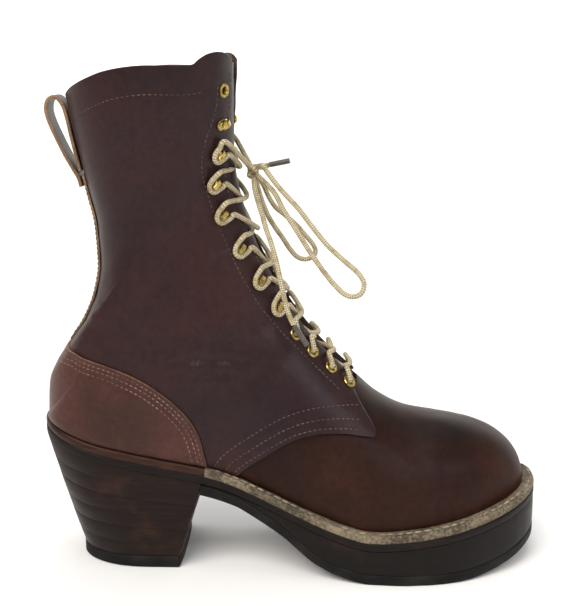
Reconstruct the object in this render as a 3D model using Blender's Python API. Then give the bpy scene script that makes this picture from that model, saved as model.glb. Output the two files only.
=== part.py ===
"""A laced logger boot for the right foot, with a platform sole and a high underslung heel.

X runs from the heel to the toe, Y from the outer (lateral, -Y) side to the inner side, Z up.
The boot stands on its heel and its forefoot, on the plane Z = 0. Every outline is measured from the
heel's back, and one empty moves the whole boot, so that the origin is at the middle of the heel's face.
"""

import math
from typing import NamedTuple

import bmesh
import bpy
from mathutils import Vector

# Sole
LENGTH = 0.300
BALL_WIDTH = 0.104
HEEL_STACK = 0.088
BALL_STACK = 0.030
TOE_RISE = 0.018
TOE_SPRING = 0.014
WAIST_THICKNESS = 0.0165
WELT_THICKNESS = 0.0045
MIDSOLE_THICKNESS = 0.0045
OUTSOLE_THICKNESS = 0.006
INSOLE_PROUD = 0.0008
INSOLE_CLEARANCE = 0.0014
WELT_START = 0.100
PLATFORM_LEAST = 0.0008
SOLE_STEPS = 36
GAP = 0.0003
UPPER_SEAT = 0.0005

# Heel
HEEL_LIFTS = 6
TOP_LIFT_THICKNESS = 0.007
HEEL_BOTTOM_BACK = 0.021
HEEL_BOTTOM_BREAST = 0.085
HEEL_BOTTOM_WIDTH = 0.062
HEEL_TOP_WIDTH = 0.068

# Upper: heights over the stack under them, and the leather's thickness
SHAFT = 0.270
BACK_HEIGHT = 0.190
LINED_WALL = 0.0017
QUARTER_WALL = 0.0015
HEEL_INSET = 0.0035
TOE_INSET = 0.0055
THROAT_TOP_WIDTH = 0.036
THROAT_BOTTOM_WIDTH = 0.018
THROAT_REACH = 0.022
TONGUE_WALL = 0.0020
TONGUE_COVER = 0.011
TONGUE_CLEARANCE = 0.0009
COUNTER_WALL = 0.0015
STRAP_WIDTH = 0.018
STRAP_TOP = 0.768
PULL_LOOP_WIDTH = 0.016
PULL_LOOP_WALL = 0.002
PULL_LOOP_REACH = 0.0135

# Brass fasteners and the lace
FACING_MARGIN = 0.0078
EYELET_RADIUS = 0.0040
EYELET_HOLE = 0.0022
EYELET_HEIGHT = 0.0010
EYELET_SIDES = 10
HOOK_WIDTH = 0.0050
HOOK_BASE = 0.0046
HOOK_HEIGHT = 0.0046
HOOK_WALL = 0.0008
LACE = 0.0030
AGLET = 0.0032


class Width(NamedTuple):
    """The sole's edge at one place: shares of LENGTH, and of BALL_WIDTH for the other two."""

    along: float
    centre: float
    half: float


class Level(NamedTuple):
    """One height of the sole at one place: a share of LENGTH and a share of the height named with it."""

    along: float
    share: float


class Fastener(NamedTuple):
    """One station of the lacing: its height as a share of SHAFT over the ball, and what is set there."""

    height: float
    kind: str


class Fold(NamedTuple):
    """One place of the pull loop's middle line: a share of BACK_HEIGHT, and of PULL_LOOP_REACH outward."""

    rise: float
    out: float


class Section(NamedTuple):
    """One section of the upper, from its foot on the welt or the back line to the ridge at the front.

    foot and ridge_x are shares of the feather line's length from the heel. rise is a share of
    BACK_HEIGHT over the heel seat, and 0 on the sole. ridge_z is a share of SHAFT over the ball.
    ridge_y, lateral and medial are shares of BALL_WIDTH. widest is the share of the way from foot to
    ridge with the full width. upper and lower are the exponents of the curve on either side of it.
    """

    foot: float
    rise: float
    ridge_x: float
    ridge_z: float
    ridge_y: float
    lateral: float
    medial: float
    widest: float
    upper: float
    lower: float


SOLE_EDGE = [
    Width(0.00, 0.000, 0.332),
    Width(0.13, 0.000, 0.334),
    Width(0.27, -0.010, 0.322),
    Width(0.37, -0.020, 0.322),
    Width(0.47, -0.024, 0.352),
    Width(0.57, -0.018, 0.416),
    Width(0.67, 0.000, 0.478),
    Width(0.74, 0.016, 0.498),
    Width(0.82, 0.038, 0.490),
    Width(0.90, 0.058, 0.462),
    Width(1.00, 0.078, 0.425),
]
HEEL_ROUND = 0.14
TOE_ROUND = 0.25
HEEL_POWER = 2.1
TOE_POWER = 2.35

# The fall of the foot bed from the heel stack to the ball
PITCH = [
    Level(0.000, 1.000),
    Level(0.050, 0.915),
    Level(0.133, 0.795),
    Level(0.233, 0.680),
    Level(0.333, 0.585),
    Level(0.373, 0.525),
    Level(0.433, 0.400),
    Level(0.500, 0.250),
    Level(0.567, 0.115),
    Level(0.617, 0.035),
    Level(0.655, 0.000),
    Level(1.000, 0.000),
]
RISE = [Level(0.68, 0.00), Level(0.76, 0.13), Level(0.83, 0.30), Level(0.92, 0.60), Level(1.00, 1.00)]
SPRING = [Level(0.80, 0.00), Level(0.85, 0.06), Level(0.90, 0.24), Level(0.95, 0.55), Level(1.00, 1.00)]
PLATFORM = [
    Level(0.40, 0.00),
    Level(0.44, 0.14),
    Level(0.49, 0.38),
    Level(0.52, 0.66),
    Level(0.55, 0.90),
    Level(0.58, 1.00),
]

SECTIONS = [
    Section(1.000, 0.000, 1.000, 0.068, 0.078, 0.000, 0.000, 0.30, 2.0, 2.0),
    Section(0.997, 0.000, 0.997, 0.093, 0.078, 0.000, 0.000, 0.30, 2.0, 2.0),
    Section(0.990, 0.000, 0.990, 0.117, 0.077, 0.000, 0.000, 0.30, 2.1, 2.0),
    Section(0.978, 0.000, 0.978, 0.138, 0.075, 0.000, 0.000, 0.30, 2.2, 2.0),
    Section(0.960, 0.000, 0.960, 0.158, 0.072, 0.000, 0.000, 0.30, 2.3, 2.0),
    Section(0.935, 0.000, 0.935, 0.176, 0.068, 0.000, 0.000, 0.30, 2.3, 2.0),
    Section(0.900, 0.000, 0.900, 0.192, 0.064, 0.000, 0.000, 0.28, 2.3, 2.0),
    Section(0.855, 0.000, 0.857, 0.205, 0.060, 0.000, 0.000, 0.26, 2.2, 2.0),
    Section(0.800, 0.000, 0.806, 0.215, 0.056, 0.455, 0.455, 0.25, 2.1, 2.0),
    Section(0.740, 0.000, 0.7475, 0.229, 0.050, 0.455, 0.455, 0.25, 2.0, 2.0),
    Section(0.680, 0.000, 0.690, 0.262, 0.042, 0.440, 0.440, 0.26, 1.95, 2.0),
    Section(0.620, 0.000, 0.641, 0.307, 0.034, 0.410, 0.410, 0.27, 2.0, 2.0),
    Section(0.555, 0.000, 0.593, 0.356, 0.026, 0.380, 0.378, 0.28, 2.05, 2.0),
    Section(0.480, 0.000, 0.552, 0.405, 0.018, 0.352, 0.348, 0.30, 2.1, 2.0),
    Section(0.400, 0.000, 0.516, 0.459, 0.012, 0.336, 0.330, 0.32, 2.15, 2.0),
    Section(0.320, 0.000, 0.485, 0.515, 0.008, 0.330, 0.325, 0.34, 2.2, 2.0),
    Section(0.245, 0.000, 0.459, 0.570, 0.004, 0.328, 0.324, 0.36, 2.3, 2.0),
    Section(0.170, 0.000, 0.438, 0.622, -0.004, 0.326, 0.324, 0.38, 2.35, 2.0),
    Section(0.100, 0.000, 0.423, 0.668, -0.008, 0.324, 0.322, 0.39, 2.4, 2.0),
    Section(0.045, 0.000, 0.412, 0.705, -0.012, 0.322, 0.320, 0.40, 2.45, 2.05),
    Section(0.012, 0.000, 0.405, 0.733, -0.016, 0.320, 0.318, 0.41, 2.5, 2.1),
    Section(0.000, 0.000, 0.401, 0.753, -0.018, 0.319, 0.317, 0.41, 2.5, 2.1),
    Section(0.002, 0.053, 0.3985, 0.770, -0.020, 0.318, 0.316, 0.42, 2.5, 2.1),
    Section(0.006, 0.116, 0.397, 0.787, -0.022, 0.317, 0.315, 0.42, 2.5, 2.1),
    Section(0.021, 0.172, 0.3955, 0.803, -0.024, 0.317, 0.315, 0.43, 2.5, 2.05),
    Section(0.046, 0.237, 0.395, 0.820, -0.025, 0.318, 0.316, 0.43, 2.5, 2.0),
    Section(0.080, 0.316, 0.395, 0.839, -0.025, 0.322, 0.320, 0.44, 2.5, 2.0),
    Section(0.103, 0.400, 0.3955, 0.859, -0.025, 0.331, 0.329, 0.45, 2.5, 2.0),
    Section(0.114, 0.495, 0.396, 0.881, -0.025, 0.345, 0.343, 0.46, 2.5, 2.0),
    Section(0.111, 0.605, 0.397, 0.906, -0.025, 0.366, 0.364, 0.47, 2.5, 2.0),
    Section(0.098, 0.705, 0.398, 0.930, -0.025, 0.389, 0.387, 0.47, 2.45, 2.0),
    Section(0.081, 0.816, 0.399, 0.953, -0.025, 0.412, 0.410, 0.48, 2.4, 2.0),
    Section(0.067, 0.916, 0.400, 0.975, -0.025, 0.432, 0.430, 0.48, 2.4, 2.0),
    Section(0.057, 1.005, 0.400, 0.997, -0.025, 0.447, 0.445, 0.48, 2.4, 2.0),
    Section(0.050, 1.074, 0.400, 1.044, -0.025, 0.458, 0.456, 0.48, 2.4, 2.0),
    Section(0.045, 1.137, 0.400, 1.080, -0.025, 0.466, 0.464, 0.48, 2.4, 2.0),
]
UPPER_STEPS = 6
LOWER_STEPS = 3
RIDGE_SHARE = 0.66
FINE_ROWS = (7, 17)
THROAT_FIRST_ROW = 11
TONGUE_FIRST_ROW = 9
TONGUE_LAST_ROW = 33
TONGUE_STEPS = 6
QUARTER_FIRST_ROW = 11
COUNTER_ROWS = (21, 37)
CROSSING_INSET = 0.0062
CROSSING_LIFT = 0.0029
CROSSING_DEPTH = 0.0004

# The collar seen from the side, as shares of LENGTH and of SHAFT over the ball
RIM = [
    Level(0.030, 0.912),
    Level(0.060, 0.920),
    Level(0.093, 0.944),
    Level(0.133, 0.964),
    Level(0.175, 0.979),
    Level(0.235, 0.988),
    Level(0.318, 0.988),
    Level(0.337, 1.000),
    Level(0.353, 1.011),
    Level(0.373, 1.015),
    Level(0.387, 1.007),
    Level(0.396, 0.990),
    Level(0.400, 0.960),
    Level(0.440, 0.955),
]


# The quarters' front edge from the welt to the throat, and the counter's upper edge, seen from the side
QUARTER_EDGE = [
    Level(0.380, 0.000),
    Level(0.388, 0.085),
    Level(0.403, 0.117),
    Level(0.427, 0.140),
    Level(0.453, 0.160),
    Level(0.480, 0.180),
    Level(0.510, 0.198),
    Level(0.540, 0.208),
    Level(0.570, 0.212),
    Level(0.607, 0.211),
    Level(0.640, 0.205),
    Level(0.662, 0.200),
    Level(0.668, 0.206),
    Level(0.662, 0.222),
    Level(0.650, 0.243),
    Level(0.634, 0.272),
    Level(0.622, 0.300),
    Level(0.617, 0.330),
    Level(0.617, 0.450),
]
COUNTER_EDGE = [
    Level(-0.100, 0.382),
    Level(0.060, 0.382),
    Level(0.100, 0.370),
    Level(0.150, 0.354),
    Level(0.210, 0.325),
    Level(0.260, 0.288),
    Level(0.300, 0.245),
    Level(0.322, 0.205),
    Level(0.333, 0.160),
    Level(0.338, 0.120),
    Level(0.340, 0.000),
]

# Eyelets and hooks from the collar down, on each side
FASTENERS = [
    Fastener(0.937, "eyelet"),
    Fastener(0.867, "hook"),
    Fastener(0.804, "hook"),
    Fastener(0.741, "hook"),
    Fastener(0.674, "hook"),
    Fastener(0.600, "hook"),
    Fastener(0.530, "hook"),
    Fastener(0.470, "hook"),
    Fastener(0.415, "eyelet"),
    Fastener(0.375, "eyelet"),
    Fastener(0.338, "eyelet"),
    Fastener(0.304, "eyelet"),
]
LACED_FROM = 2

# The pull loop from its sewn end by the collar to its other end on the back strap
PULL_LOOP = [
    Fold(0.783, 0.10),
    Fold(0.880, 0.10),
    Fold(0.955, 0.12),
    Fold(0.990, 0.22),
    Fold(1.008, 0.48),
    Fold(0.998, 0.78),
    Fold(0.968, 0.94),
    Fold(0.930, 0.90),
    Fold(0.880, 0.74),
    Fold(0.830, 0.56),
    Fold(0.790, 0.38),
    Fold(0.762, 0.255),
    Fold(0.735, 0.245),
]

# Routes of the tied lace from just off the knot, chosen by hand, in metres from the heel's back
KNOT_CENTRE = (0.1276, -0.0010, 0.2360)
KNOT_RADII = (0.0036, 0.0062, 0.0050)
KNOT_CLEARANCE = 0.0006
BOW_LOOP_OUTER = [
    (0.1335, -0.0100, 0.2400),
    (0.1380, -0.0130, 0.2345),
    (0.1445, -0.0150, 0.2265),
    (0.1545, -0.0172, 0.2160),
    (0.1625, -0.0200, 0.2060),
    (0.1710, -0.0228, 0.1960),
    (0.1805, -0.0256, 0.1875),
    (0.1880, -0.0284, 0.1815),
    (0.1920, -0.0312, 0.1758),
    (0.1908, -0.0328, 0.1702),
    (0.1862, -0.0324, 0.1678),
    (0.1812, -0.0302, 0.1688),
    (0.1762, -0.0275, 0.1728),
    (0.1702, -0.0248, 0.1795),
    (0.1620, -0.0215, 0.1905),
    (0.1535, -0.0180, 0.2035),
    (0.1460, -0.0145, 0.2145),
    (0.1402, -0.0108, 0.2246),
]
BOW_LOOP_INNER = [
    (0.1330, 0.0075, 0.2270),
    (0.1362, 0.0092, 0.2195),
    (0.1402, 0.0105, 0.2130),
    (0.1462, 0.0117, 0.2078),
    (0.1525, 0.0128, 0.2020),
    (0.1585, 0.0138, 0.1950),
    (0.1632, 0.0144, 0.1890),
    (0.1640, 0.0142, 0.1838),
    (0.1592, 0.0136, 0.1808),
    (0.1535, 0.0126, 0.1822),
    (0.1488, 0.0112, 0.1875),
    (0.1445, 0.0096, 0.1945),
    (0.1405, 0.0078, 0.2005),
    (0.1365, 0.0056, 0.2075),
    (0.1335, 0.0030, 0.2150),
    (0.1312, 0.0012, 0.2225),
]
LACE_END_LONG = [
    (0.1292, -0.0094, 0.2258),
    (0.1314, -0.0130, 0.2185),
    (0.1340, -0.0158, 0.2110),
    (0.1362, -0.0192, 0.2040),
    (0.1388, -0.0222, 0.1975),
    (0.1418, -0.0255, 0.1880),
    (0.1444, -0.0282, 0.1775),
    (0.1464, -0.0304, 0.1680),
    (0.1488, -0.0320, 0.1590),
    (0.1522, -0.0330, 0.1515),
]
LACE_TIP_LONG = [(0.1526, -0.0331, 0.1508), (0.1600, -0.0346, 0.1395)]
LACE_END_SHORT = [
    (0.1345, -0.0014, 0.2388),
    (0.1368, -0.0019, 0.2394),
]
LACE_TIP_SHORT = [(0.1374, -0.0020, 0.2396), (0.1492, -0.0040, 0.2422)]
CORD_STEP = 0.0085


def clear_scene():
    """Starts from an empty scene."""
    for obj in list(bpy.data.objects):
        bpy.data.objects.remove(obj, do_unlink=True)


def make_collection(name):
    collection = bpy.data.collections.new(name)
    bpy.context.scene.collection.children.link(collection)
    return collection


def material(name, colour, roughness, metallic=0.0):
    """A plain Principled finish. colour is linear red, green and blue."""
    made = bpy.data.materials.new(name)
    made.use_nodes = True
    shader = made.node_tree.nodes["Principled BSDF"]
    shader.inputs["Base Color"].default_value = (*colour, 1.0)
    shader.inputs["Roughness"].default_value = roughness
    shader.inputs["Metallic"].default_value = metallic
    return made


def smooth_curve(knots, values, at):
    """A curve through the knots that doesn't overshoot, and is level past both ends."""
    if at <= knots[0]:
        return values[0]
    if at >= knots[-1]:
        return values[-1]
    slopes = [(b - a) / (q - p) for p, q, a, b in zip(knots, knots[1:], values, values[1:])]
    tangents = [slopes[0]]
    for before, after in zip(slopes, slopes[1:]):
        same_way = before * after > 0
        tangents.append(2 * before * after / (before + after) if same_way else 0.0)
    tangents.append(slopes[-1])
    i = max(k for k in range(len(knots) - 1) if knots[k] <= at)
    step = knots[i + 1] - knots[i]
    t = (at - knots[i]) / step
    return (
        (1 + 2 * t) * (1 - t) ** 2 * values[i]
        + t * (1 - t) ** 2 * step * tangents[i]
        + t * t * (3 - 2 * t) * values[i + 1]
        + t * t * (t - 1) * step * tangents[i + 1]
    )


def level_at(table, x):
    return smooth_curve([row.along for row in table], [row.share for row in table], x / LENGTH)


def sole_top(x):
    """The height of the welt's upper face."""
    drop = (HEEL_STACK - BALL_STACK) * level_at(PITCH, x)
    return BALL_STACK + drop + TOE_RISE * level_at(RISE, x)


def sole_under(x):
    """The height of the outsole's lower face, flat on the floor under the ball."""
    drop = (HEEL_STACK - BALL_STACK) * level_at(PITCH, x)
    stack = WAIST_THICKNESS + (BALL_STACK - WAIST_THICKNESS) * level_at(PLATFORM, x)
    return BALL_STACK + drop - stack + TOE_SPRING * level_at(SPRING, x)


def welt_under(x):
    return sole_top(x) - WELT_THICKNESS


def midsole_top(x):
    return welt_under(x) - GAP


def midsole_under(x):
    return midsole_top(x) - MIDSOLE_THICKNESS


def outsole_top(x):
    return min(sole_under(x) + OUTSOLE_THICKNESS, midsole_under(x) - GAP)


def platform_under(x):
    return outsole_top(x) + GAP


def platform_top(x):
    return midsole_under(x) - GAP


def heel_seat(x):
    return midsole_under(x) - GAP


def rounded(share, power):
    """The half width of a superellipse, from 0 at its tip to 1 at its middle."""
    share = min(max(share, 0.0), 1.0)
    return (1 - (1 - share) ** power) ** (1 / power)


def plan(x, heel_inset=0.0, toe_inset=0.0):
    """The centre and the half width of the sole's outline at x, moved in by the insets."""
    knots = [row.along for row in SOLE_EDGE]
    centre = BALL_WIDTH * smooth_curve(knots, [row.centre for row in SOLE_EDGE], x / LENGTH)
    half = BALL_WIDTH * smooth_curve(knots, [row.half for row in SOLE_EDGE], x / LENGTH)
    half -= heel_inset + (toe_inset - heel_inset) * x / LENGTH
    half *= rounded((x - heel_inset) / (HEEL_ROUND * LENGTH), HEEL_POWER)
    half *= rounded((LENGTH - toe_inset - x) / (TOE_ROUND * LENGTH), TOE_POWER)
    return centre, half


def stations(start, end, count, ease_start, ease_end):
    """Places from start to end, closer together at an end that is eased."""
    places = []
    for i in range(count + 1):
        t = i / count
        if ease_start and ease_end:
            t = (1 - math.cos(math.pi * t)) / 2
        elif ease_start:
            t = 1 - math.cos(math.pi * t / 2)
        elif ease_end:
            t = math.sin(math.pi * t / 2)
        places.append(start + (end - start) * t)
    return places


def sole_places(start, end):
    """The stations that every layer of the sole shares, so that curved faces stay a gap apart."""
    shared = stations(0.0, LENGTH, SOLE_STEPS, True, True)
    least = LENGTH / SOLE_STEPS / 8
    return [start] + [x for x in shared if start + least < x < end - least] + [end]


def add_object(name, mesh, look, collection):
    obj = bpy.data.objects.new(name, mesh)
    obj.data.materials.append(look)
    collection.objects.link(obj)
    return obj


def mesh_from(name, points, faces):
    """A closed mesh whose doubled points are merged and whose faces point out."""
    mesh = bpy.data.meshes.new(name)
    mesh.from_pydata([tuple(p) for p in points], [], faces)
    work = bmesh.new()
    work.from_mesh(mesh)
    bmesh.ops.remove_doubles(work, verts=work.verts, dist=1e-6)
    bmesh.ops.dissolve_degenerate(work, edges=work.edges, dist=1e-6)
    bmesh.ops.recalc_face_normals(work, faces=work.faces)
    work.to_mesh(mesh)
    work.free()
    mesh.shade_smooth()
    mesh.set_sharp_from_angle(angle=math.radians(35))
    return mesh


def ladder_cap(count):
    """Faces across a ring that starts at its tip, between points that face each other."""
    rungs = [(i, count - i) for i in range(1, (count + 1) // 2)]
    caps = [(0, rungs[0][0], rungs[0][1])]
    for (a, b), (c, d) in zip(rungs, rungs[1:]):
        caps.append((a, c, d, b))
    return caps


def ring_loft(name, rings, look, collection, caps=None):
    """A solid through closed rings of as many points each, capped at both ends."""
    count = len(rings[0])
    points = [point for ring in rings for point in ring]
    caps = caps or [tuple(range(count))]
    faces = [tuple(reversed(cap)) for cap in caps]
    for r in range(len(rings) - 1):
        for i in range(count):
            j = (i + 1) % count
            faces.append((r * count + i, r * count + j, (r + 1) * count + j, (r + 1) * count + i))
    last = (len(rings) - 1) * count
    faces += [tuple(last + i for i in cap) for cap in caps]
    return add_object(name, mesh_from(name, points, faces), look, collection)


def sole_plate(name, places, insets, under, top, look, collection):
    """One layer of the sole, a ladder of sections across the foot between two heights."""
    rings = []
    for x in places:
        centre, half = plan(x, *insets)
        outer, inner = centre - half, centre + half
        rings.append(
            [(x, outer, under(x)), (x, inner, under(x)), (x, inner, top(x)), (x, outer, top(x))]
        )
    return ring_loft(name, rings, look, collection)


def edge_strip(name, start, end, inner_insets, look, collection):
    """A strip on the sole's edge, from start on the outer side round its end and back on the inner side."""
    rings = []
    toe_end = end > start
    heel_inset, toe_inset = inner_insets
    inner_end = end - toe_inset if toe_end else end + heel_inset
    places = sole_places(min(start, end), max(start, end))
    if not toe_end:
        places.reverse()
    for side, order in ((-1, places), (1, places[-2::-1])):
        for outer_x in order:
            share = (outer_x - start) / (end - start)
            inner_x = outer_x + (inner_end - end) * share**4
            outer_centre, outer_half = plan(outer_x)
            inner_centre, inner_half = plan(inner_x, heel_inset, toe_inset)
            outer_y = outer_centre + side * outer_half
            inner_y = inner_centre + side * inner_half
            rings.append(
                [
                    (outer_x, outer_y, welt_under(outer_x)),
                    (outer_x, outer_y, sole_top(outer_x)),
                    (inner_x, inner_y, sole_top(inner_x)),
                    (inner_x, inner_y, welt_under(inner_x)),
                ]
            )
    return ring_loft(name, rings, look, collection)


def heel_ring(level, x_steps=9):
    """The heel's outline at a level, 0 on the top lift and 1 on the heel seat."""
    back = HEEL_BOTTOM_BACK * (1 - level)
    breast = HEEL_BOTTOM_BREAST + (WELT_START - HEEL_BOTTOM_BREAST) * level
    half_width = (HEEL_BOTTOM_WIDTH + (HEEL_TOP_WIDTH - HEEL_BOTTOM_WIDTH) * level) / 2
    sides = {-1: [], 1: []}
    for x in stations(back, breast, x_steps, True, False):
        share = (x - back) / (HEEL_ROUND * LENGTH)
        half = half_width * rounded(share, HEEL_POWER)
        z = TOP_LIFT_THICKNESS + GAP + level * (heel_seat(x) - TOP_LIFT_THICKNESS - GAP)
        for side in sides:
            sides[side].append((x, side * half, z))
    return sides[-1] + sides[1][:0:-1]


def build_heel(looks, collection):
    for lift in range(HEEL_LIFTS):
        low, high = heel_ring(lift / HEEL_LIFTS), heel_ring((lift + 1) / HEEL_LIFTS)
        low = [(x, y, z + (GAP if lift else 0.0)) for x, y, z in low]
        name = f"heel_lift_{lift + 1}"
        ring_loft(name, [low, high], looks["heel"], collection, ladder_cap(len(low)))
    floor_ring = [(x, y, 0.0) for x, y, z in heel_ring(0.0)]
    cap_ring = [(x, y, TOP_LIFT_THICKNESS) for x, y, z in heel_ring(0.0)]
    ring_loft("top_lift", [floor_ring, cap_ring], looks["rubber"], collection)


def build_sole(looks, collection):
    full = (0.0, 0.0)
    breast = WELT_START
    forefoot = sole_places(breast, LENGTH)
    whole = sole_places(0.0, LENGTH)
    sole_plate("midsole", whole, full, midsole_under, midsole_top, looks["sole"], collection)
    sole_plate("outsole", forefoot, full, sole_under, outsole_top, looks["rubber"], collection)
    wedge = next(
        x / 1000
        for x in range(int(1000 * breast), int(1000 * LENGTH))
        if platform_top(x / 1000) - platform_under(x / 1000) > PLATFORM_LEAST
    )
    places = sole_places(wedge, LENGTH)
    sole_plate("platform", places, full, platform_under, platform_top, looks["sole"], collection)
    wall = GAP + QUARTER_WALL + LINED_WALL
    inner = (HEEL_INSET + wall, TOE_INSET + wall)
    edge_strip("welt", breast, LENGTH, inner, looks["welt"], collection)
    edge_strip("heel_rand", breast - GAP, 0.0, inner, looks["welt"], collection)
    inside = (inner[0] + INSOLE_CLEARANCE, inner[1] + 2 * INSOLE_CLEARANCE)
    bed = sole_places(inside[0], LENGTH - inside[1])
    sole_plate(
        "insole",
        bed,
        inside,
        lambda x: welt_under(x),
        lambda x: sole_top(x) + INSOLE_PROUD,
        looks["insole"],
        collection,
    )


def form_point(row, across, out):
    """A point of the upper's form: across from -1, the outer foot, by 0, the ridge, to 1. out is outward."""
    start, end = HEEL_INSET - out, LENGTH - TOE_INSET + out
    foot_x = start + row.foot * (end - start)
    foot_centre, foot_half = plan(foot_x, start, LENGTH - end)
    foot_z = sole_top(foot_x) + UPPER_SEAT
    if row.rise > 0:
        foot_half = 0.0
        foot_z = sole_top(HEEL_INSET) + UPPER_SEAT + row.rise * BACK_HEIGHT
    foot = Vector((foot_x, foot_centre, foot_z))
    ridge = Vector((start + row.ridge_x * (end - start), row.ridge_y * BALL_WIDTH, 0.0))
    ridge.z = BALL_STACK + row.ridge_z * SHAFT
    if row.foot == 1:
        return foot
    ridge += (ridge - foot).normalized() * out
    width = (row.lateral if across < 0 else row.medial) * BALL_WIDTH + out
    width = max(width, foot_half + GAP)
    turn = abs(across)
    if turn <= RIDGE_SHARE:
        angle = (1 - turn / RIDGE_SHARE) * math.pi / 2
        along = row.widest + (1 - row.widest) * math.sin(angle) ** (2 / row.upper)
        side = width * max(math.cos(angle), 0.0) ** (2 / row.upper)
    else:
        angle = (turn - RIDGE_SHARE) / (1 - RIDGE_SHARE) * math.pi / 2
        along = row.widest * (1 - math.sin(angle) ** (2 / row.lower))
        side = foot_half + (width - foot_half) * max(math.cos(angle), 0.0) ** (2 / row.lower)
    point = foot.lerp(ridge, along)
    point.y += math.copysign(side, across) if turn > 0 else 0.0
    return point


def section_between(at):
    """The section at a place between two rows of the table, 0 on the first row."""
    knots = list(range(len(SECTIONS)))
    return Section(*(smooth_curve(knots, column, at) for column in zip(*SECTIONS)))


def form_rows():
    """The sections that the upper's pieces share, closer together where the foot bed bends most."""
    places = []
    for i in range(len(SECTIONS)):
        places.append(float(i))
        if FINE_ROWS[0] <= i < FINE_ROWS[1]:
            places.append(i + 0.5)
    return [section_between(at) for at in places]


def across_steps():
    """The places across each section, from the outer foot by the ridge to the inner foot."""
    upper = [RIDGE_SHARE * i / UPPER_STEPS for i in range(UPPER_STEPS + 1)]
    lower = [RIDGE_SHARE + (1 - RIDGE_SHARE) * (i + 1) / LOWER_STEPS for i in range(LOWER_STEPS)]
    half = upper + lower
    return [-step for step in reversed(half[1:])] + half


def grid_shell(name, outer, inner, closed_ends, turn_column, look, collection):
    """A wall between two grids of points, with a face along each edge of the grids.

    Each place of the grid is two triangles. Their shared edge turns the other way from turn_column on,
    so that every wall over the same form has the same facets.
    """
    rows, columns = len(outer), len(outer[0])
    points = [point for grid in (outer, inner) for row in grid for point in row]
    inward = rows * columns
    faces = []
    for r in range(rows - 1):
        for c in range(columns - 1):
            low, next_low = r * columns + c, r * columns + c + 1
            high, next_high = low + columns, next_low + columns
            halves = [(low, next_low, next_high), (low, next_high, high)]
            if c >= turn_column:
                halves = [(low, next_low, high), (next_low, next_high, high)]
            for half in halves:
                faces.append(half)
                faces.append(tuple(i + inward for i in reversed(half)))
    rims = []
    for r in range(rows - 1):
        if r in closed_ends:
            rims.append((r * columns, (r + 1) * columns))
            rims.append(((r + 2) * columns - 1, (r + 1) * columns - 1))
    for c in range(columns - 1):
        rims.append((c + 1, c))
        rims.append(((rows - 1) * columns + c, (rows - 1) * columns + c + 1))
    for a, b in rims:
        faces.append((a, b, b + inward, a + inward))
    mesh = mesh_from(name, points, [face for face in faces if len(set(face)) == len(face)])
    return add_object(name, mesh, look, collection)


def form_shell(name, out_far, out_near, look, collection):
    """A wall of the whole upper between two distances out from its form, open underneath and at the top."""
    across, rows = across_steps(), form_rows()
    far = [[form_point(row, a, out_far) for a in across] for row in rows]
    near = [[form_point(row, a, out_near) for a in across] for row in rows]
    on_sole = [i for i, row in enumerate(rows) if row.rise == 0 and row.foot > 0]
    return grid_shell(name, far, near, on_sole, len(across) // 2, look, collection)


def side_prism(name, outline, half_depth, collection):
    """A cutter with an outline seen from the side, through the whole boot."""
    rings = [[(x, y, z) for x, z in outline] for y in (-half_depth, half_depth)]
    cutter = ring_loft(name, rings, bpy.data.materials["cutter"], collection)
    return as_cutter(cutter)


def as_cutter(obj):
    """Hides a cutter."""
    obj.hide_render = True
    obj.display_type = "WIRE"
    return obj


def cut(obj, cutter, operation="DIFFERENCE"):
    modifier = obj.modifiers.new(f"{operation.lower()} {cutter.name}", "BOOLEAN")
    modifier.operation = operation
    modifier.object = cutter
    modifier.solver = "EXACT"


def throat_half(row):
    """Half of the throat's width, from its lower end to the collar."""
    low = SECTIONS[THROAT_FIRST_ROW].ridge_z
    share = min(max((row.ridge_z - low) / (1 - low), 0.0), 1.0)
    return (THROAT_BOTTOM_WIDTH + (THROAT_TOP_WIDTH - THROAT_BOTTOM_WIDTH) * share) / 2


def build_throat_cutter(collection):
    """What opens the upper at the front, from a round lower end to above the collar."""
    rings = []
    rows = SECTIONS[THROAT_FIRST_ROW:]
    for row in rows:
        ridge = form_point(row, 0.0, 0.0)
        foot = form_point(row, 1.0, 0.0).lerp(form_point(row, -1.0, 0.0), 0.5)
        axis = (ridge - foot).normalized()
        half = throat_half(row)
        corners = []
        for reach, side in ((-1, -1), (-1, 1), (1, 1), (1, -1)):
            corner = ridge + axis * reach * THROAT_REACH
            corner.y += side * half
            corners.append(corner)
        rings.append(corners)
    return as_cutter(ring_loft("throat_cut", rings, bpy.data.materials["cutter"], collection))


def build_collar_cutter(collection):
    """What is above the collar's rim and its raised front corners."""
    rim = [(row.along * LENGTH, BALL_STACK + row.share * SHAFT) for row in RIM]
    high = BALL_STACK + 1.2 * SHAFT
    outline = [(-0.2 * LENGTH, rim[0][1])] + rim + [(0.8 * LENGTH, rim[-1][1]), (0.8 * LENGTH, high)]
    outline.append((-0.2 * LENGTH, high))
    return side_prism("collar_cut", outline, BALL_WIDTH, collection)


def build_tongue(looks, collection):
    """The tongue, behind the throat from under the vamp to the collar."""
    far_out = -(GAP + QUARTER_WALL + LINED_WALL + TONGUE_CLEARANCE)
    steps = TONGUE_STEPS
    grids = []
    for out in (far_out, far_out - TONGUE_WALL):
        grid = []
        for row in SECTIONS[TONGUE_FIRST_ROW : TONGUE_LAST_ROW + 1]:
            width = (row.lateral + row.medial) / 2 * BALL_WIDTH
            reach = throat_half(row) + TONGUE_COVER
            angle = math.acos((reach / width) ** (row.upper / 2))
            most = RIDGE_SHARE * (1 - angle / (math.pi / 2))
            grid.append([form_point(row, most * (2 * i / steps - 1), out) for i in range(steps + 1)])
        grids.append(grid)
    every_row = range(len(grids[0]) - 1)
    turn = TONGUE_STEPS // 2
    return grid_shell("tongue", grids[0], grids[1], every_row, turn, looks["tongue"], collection)


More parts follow.
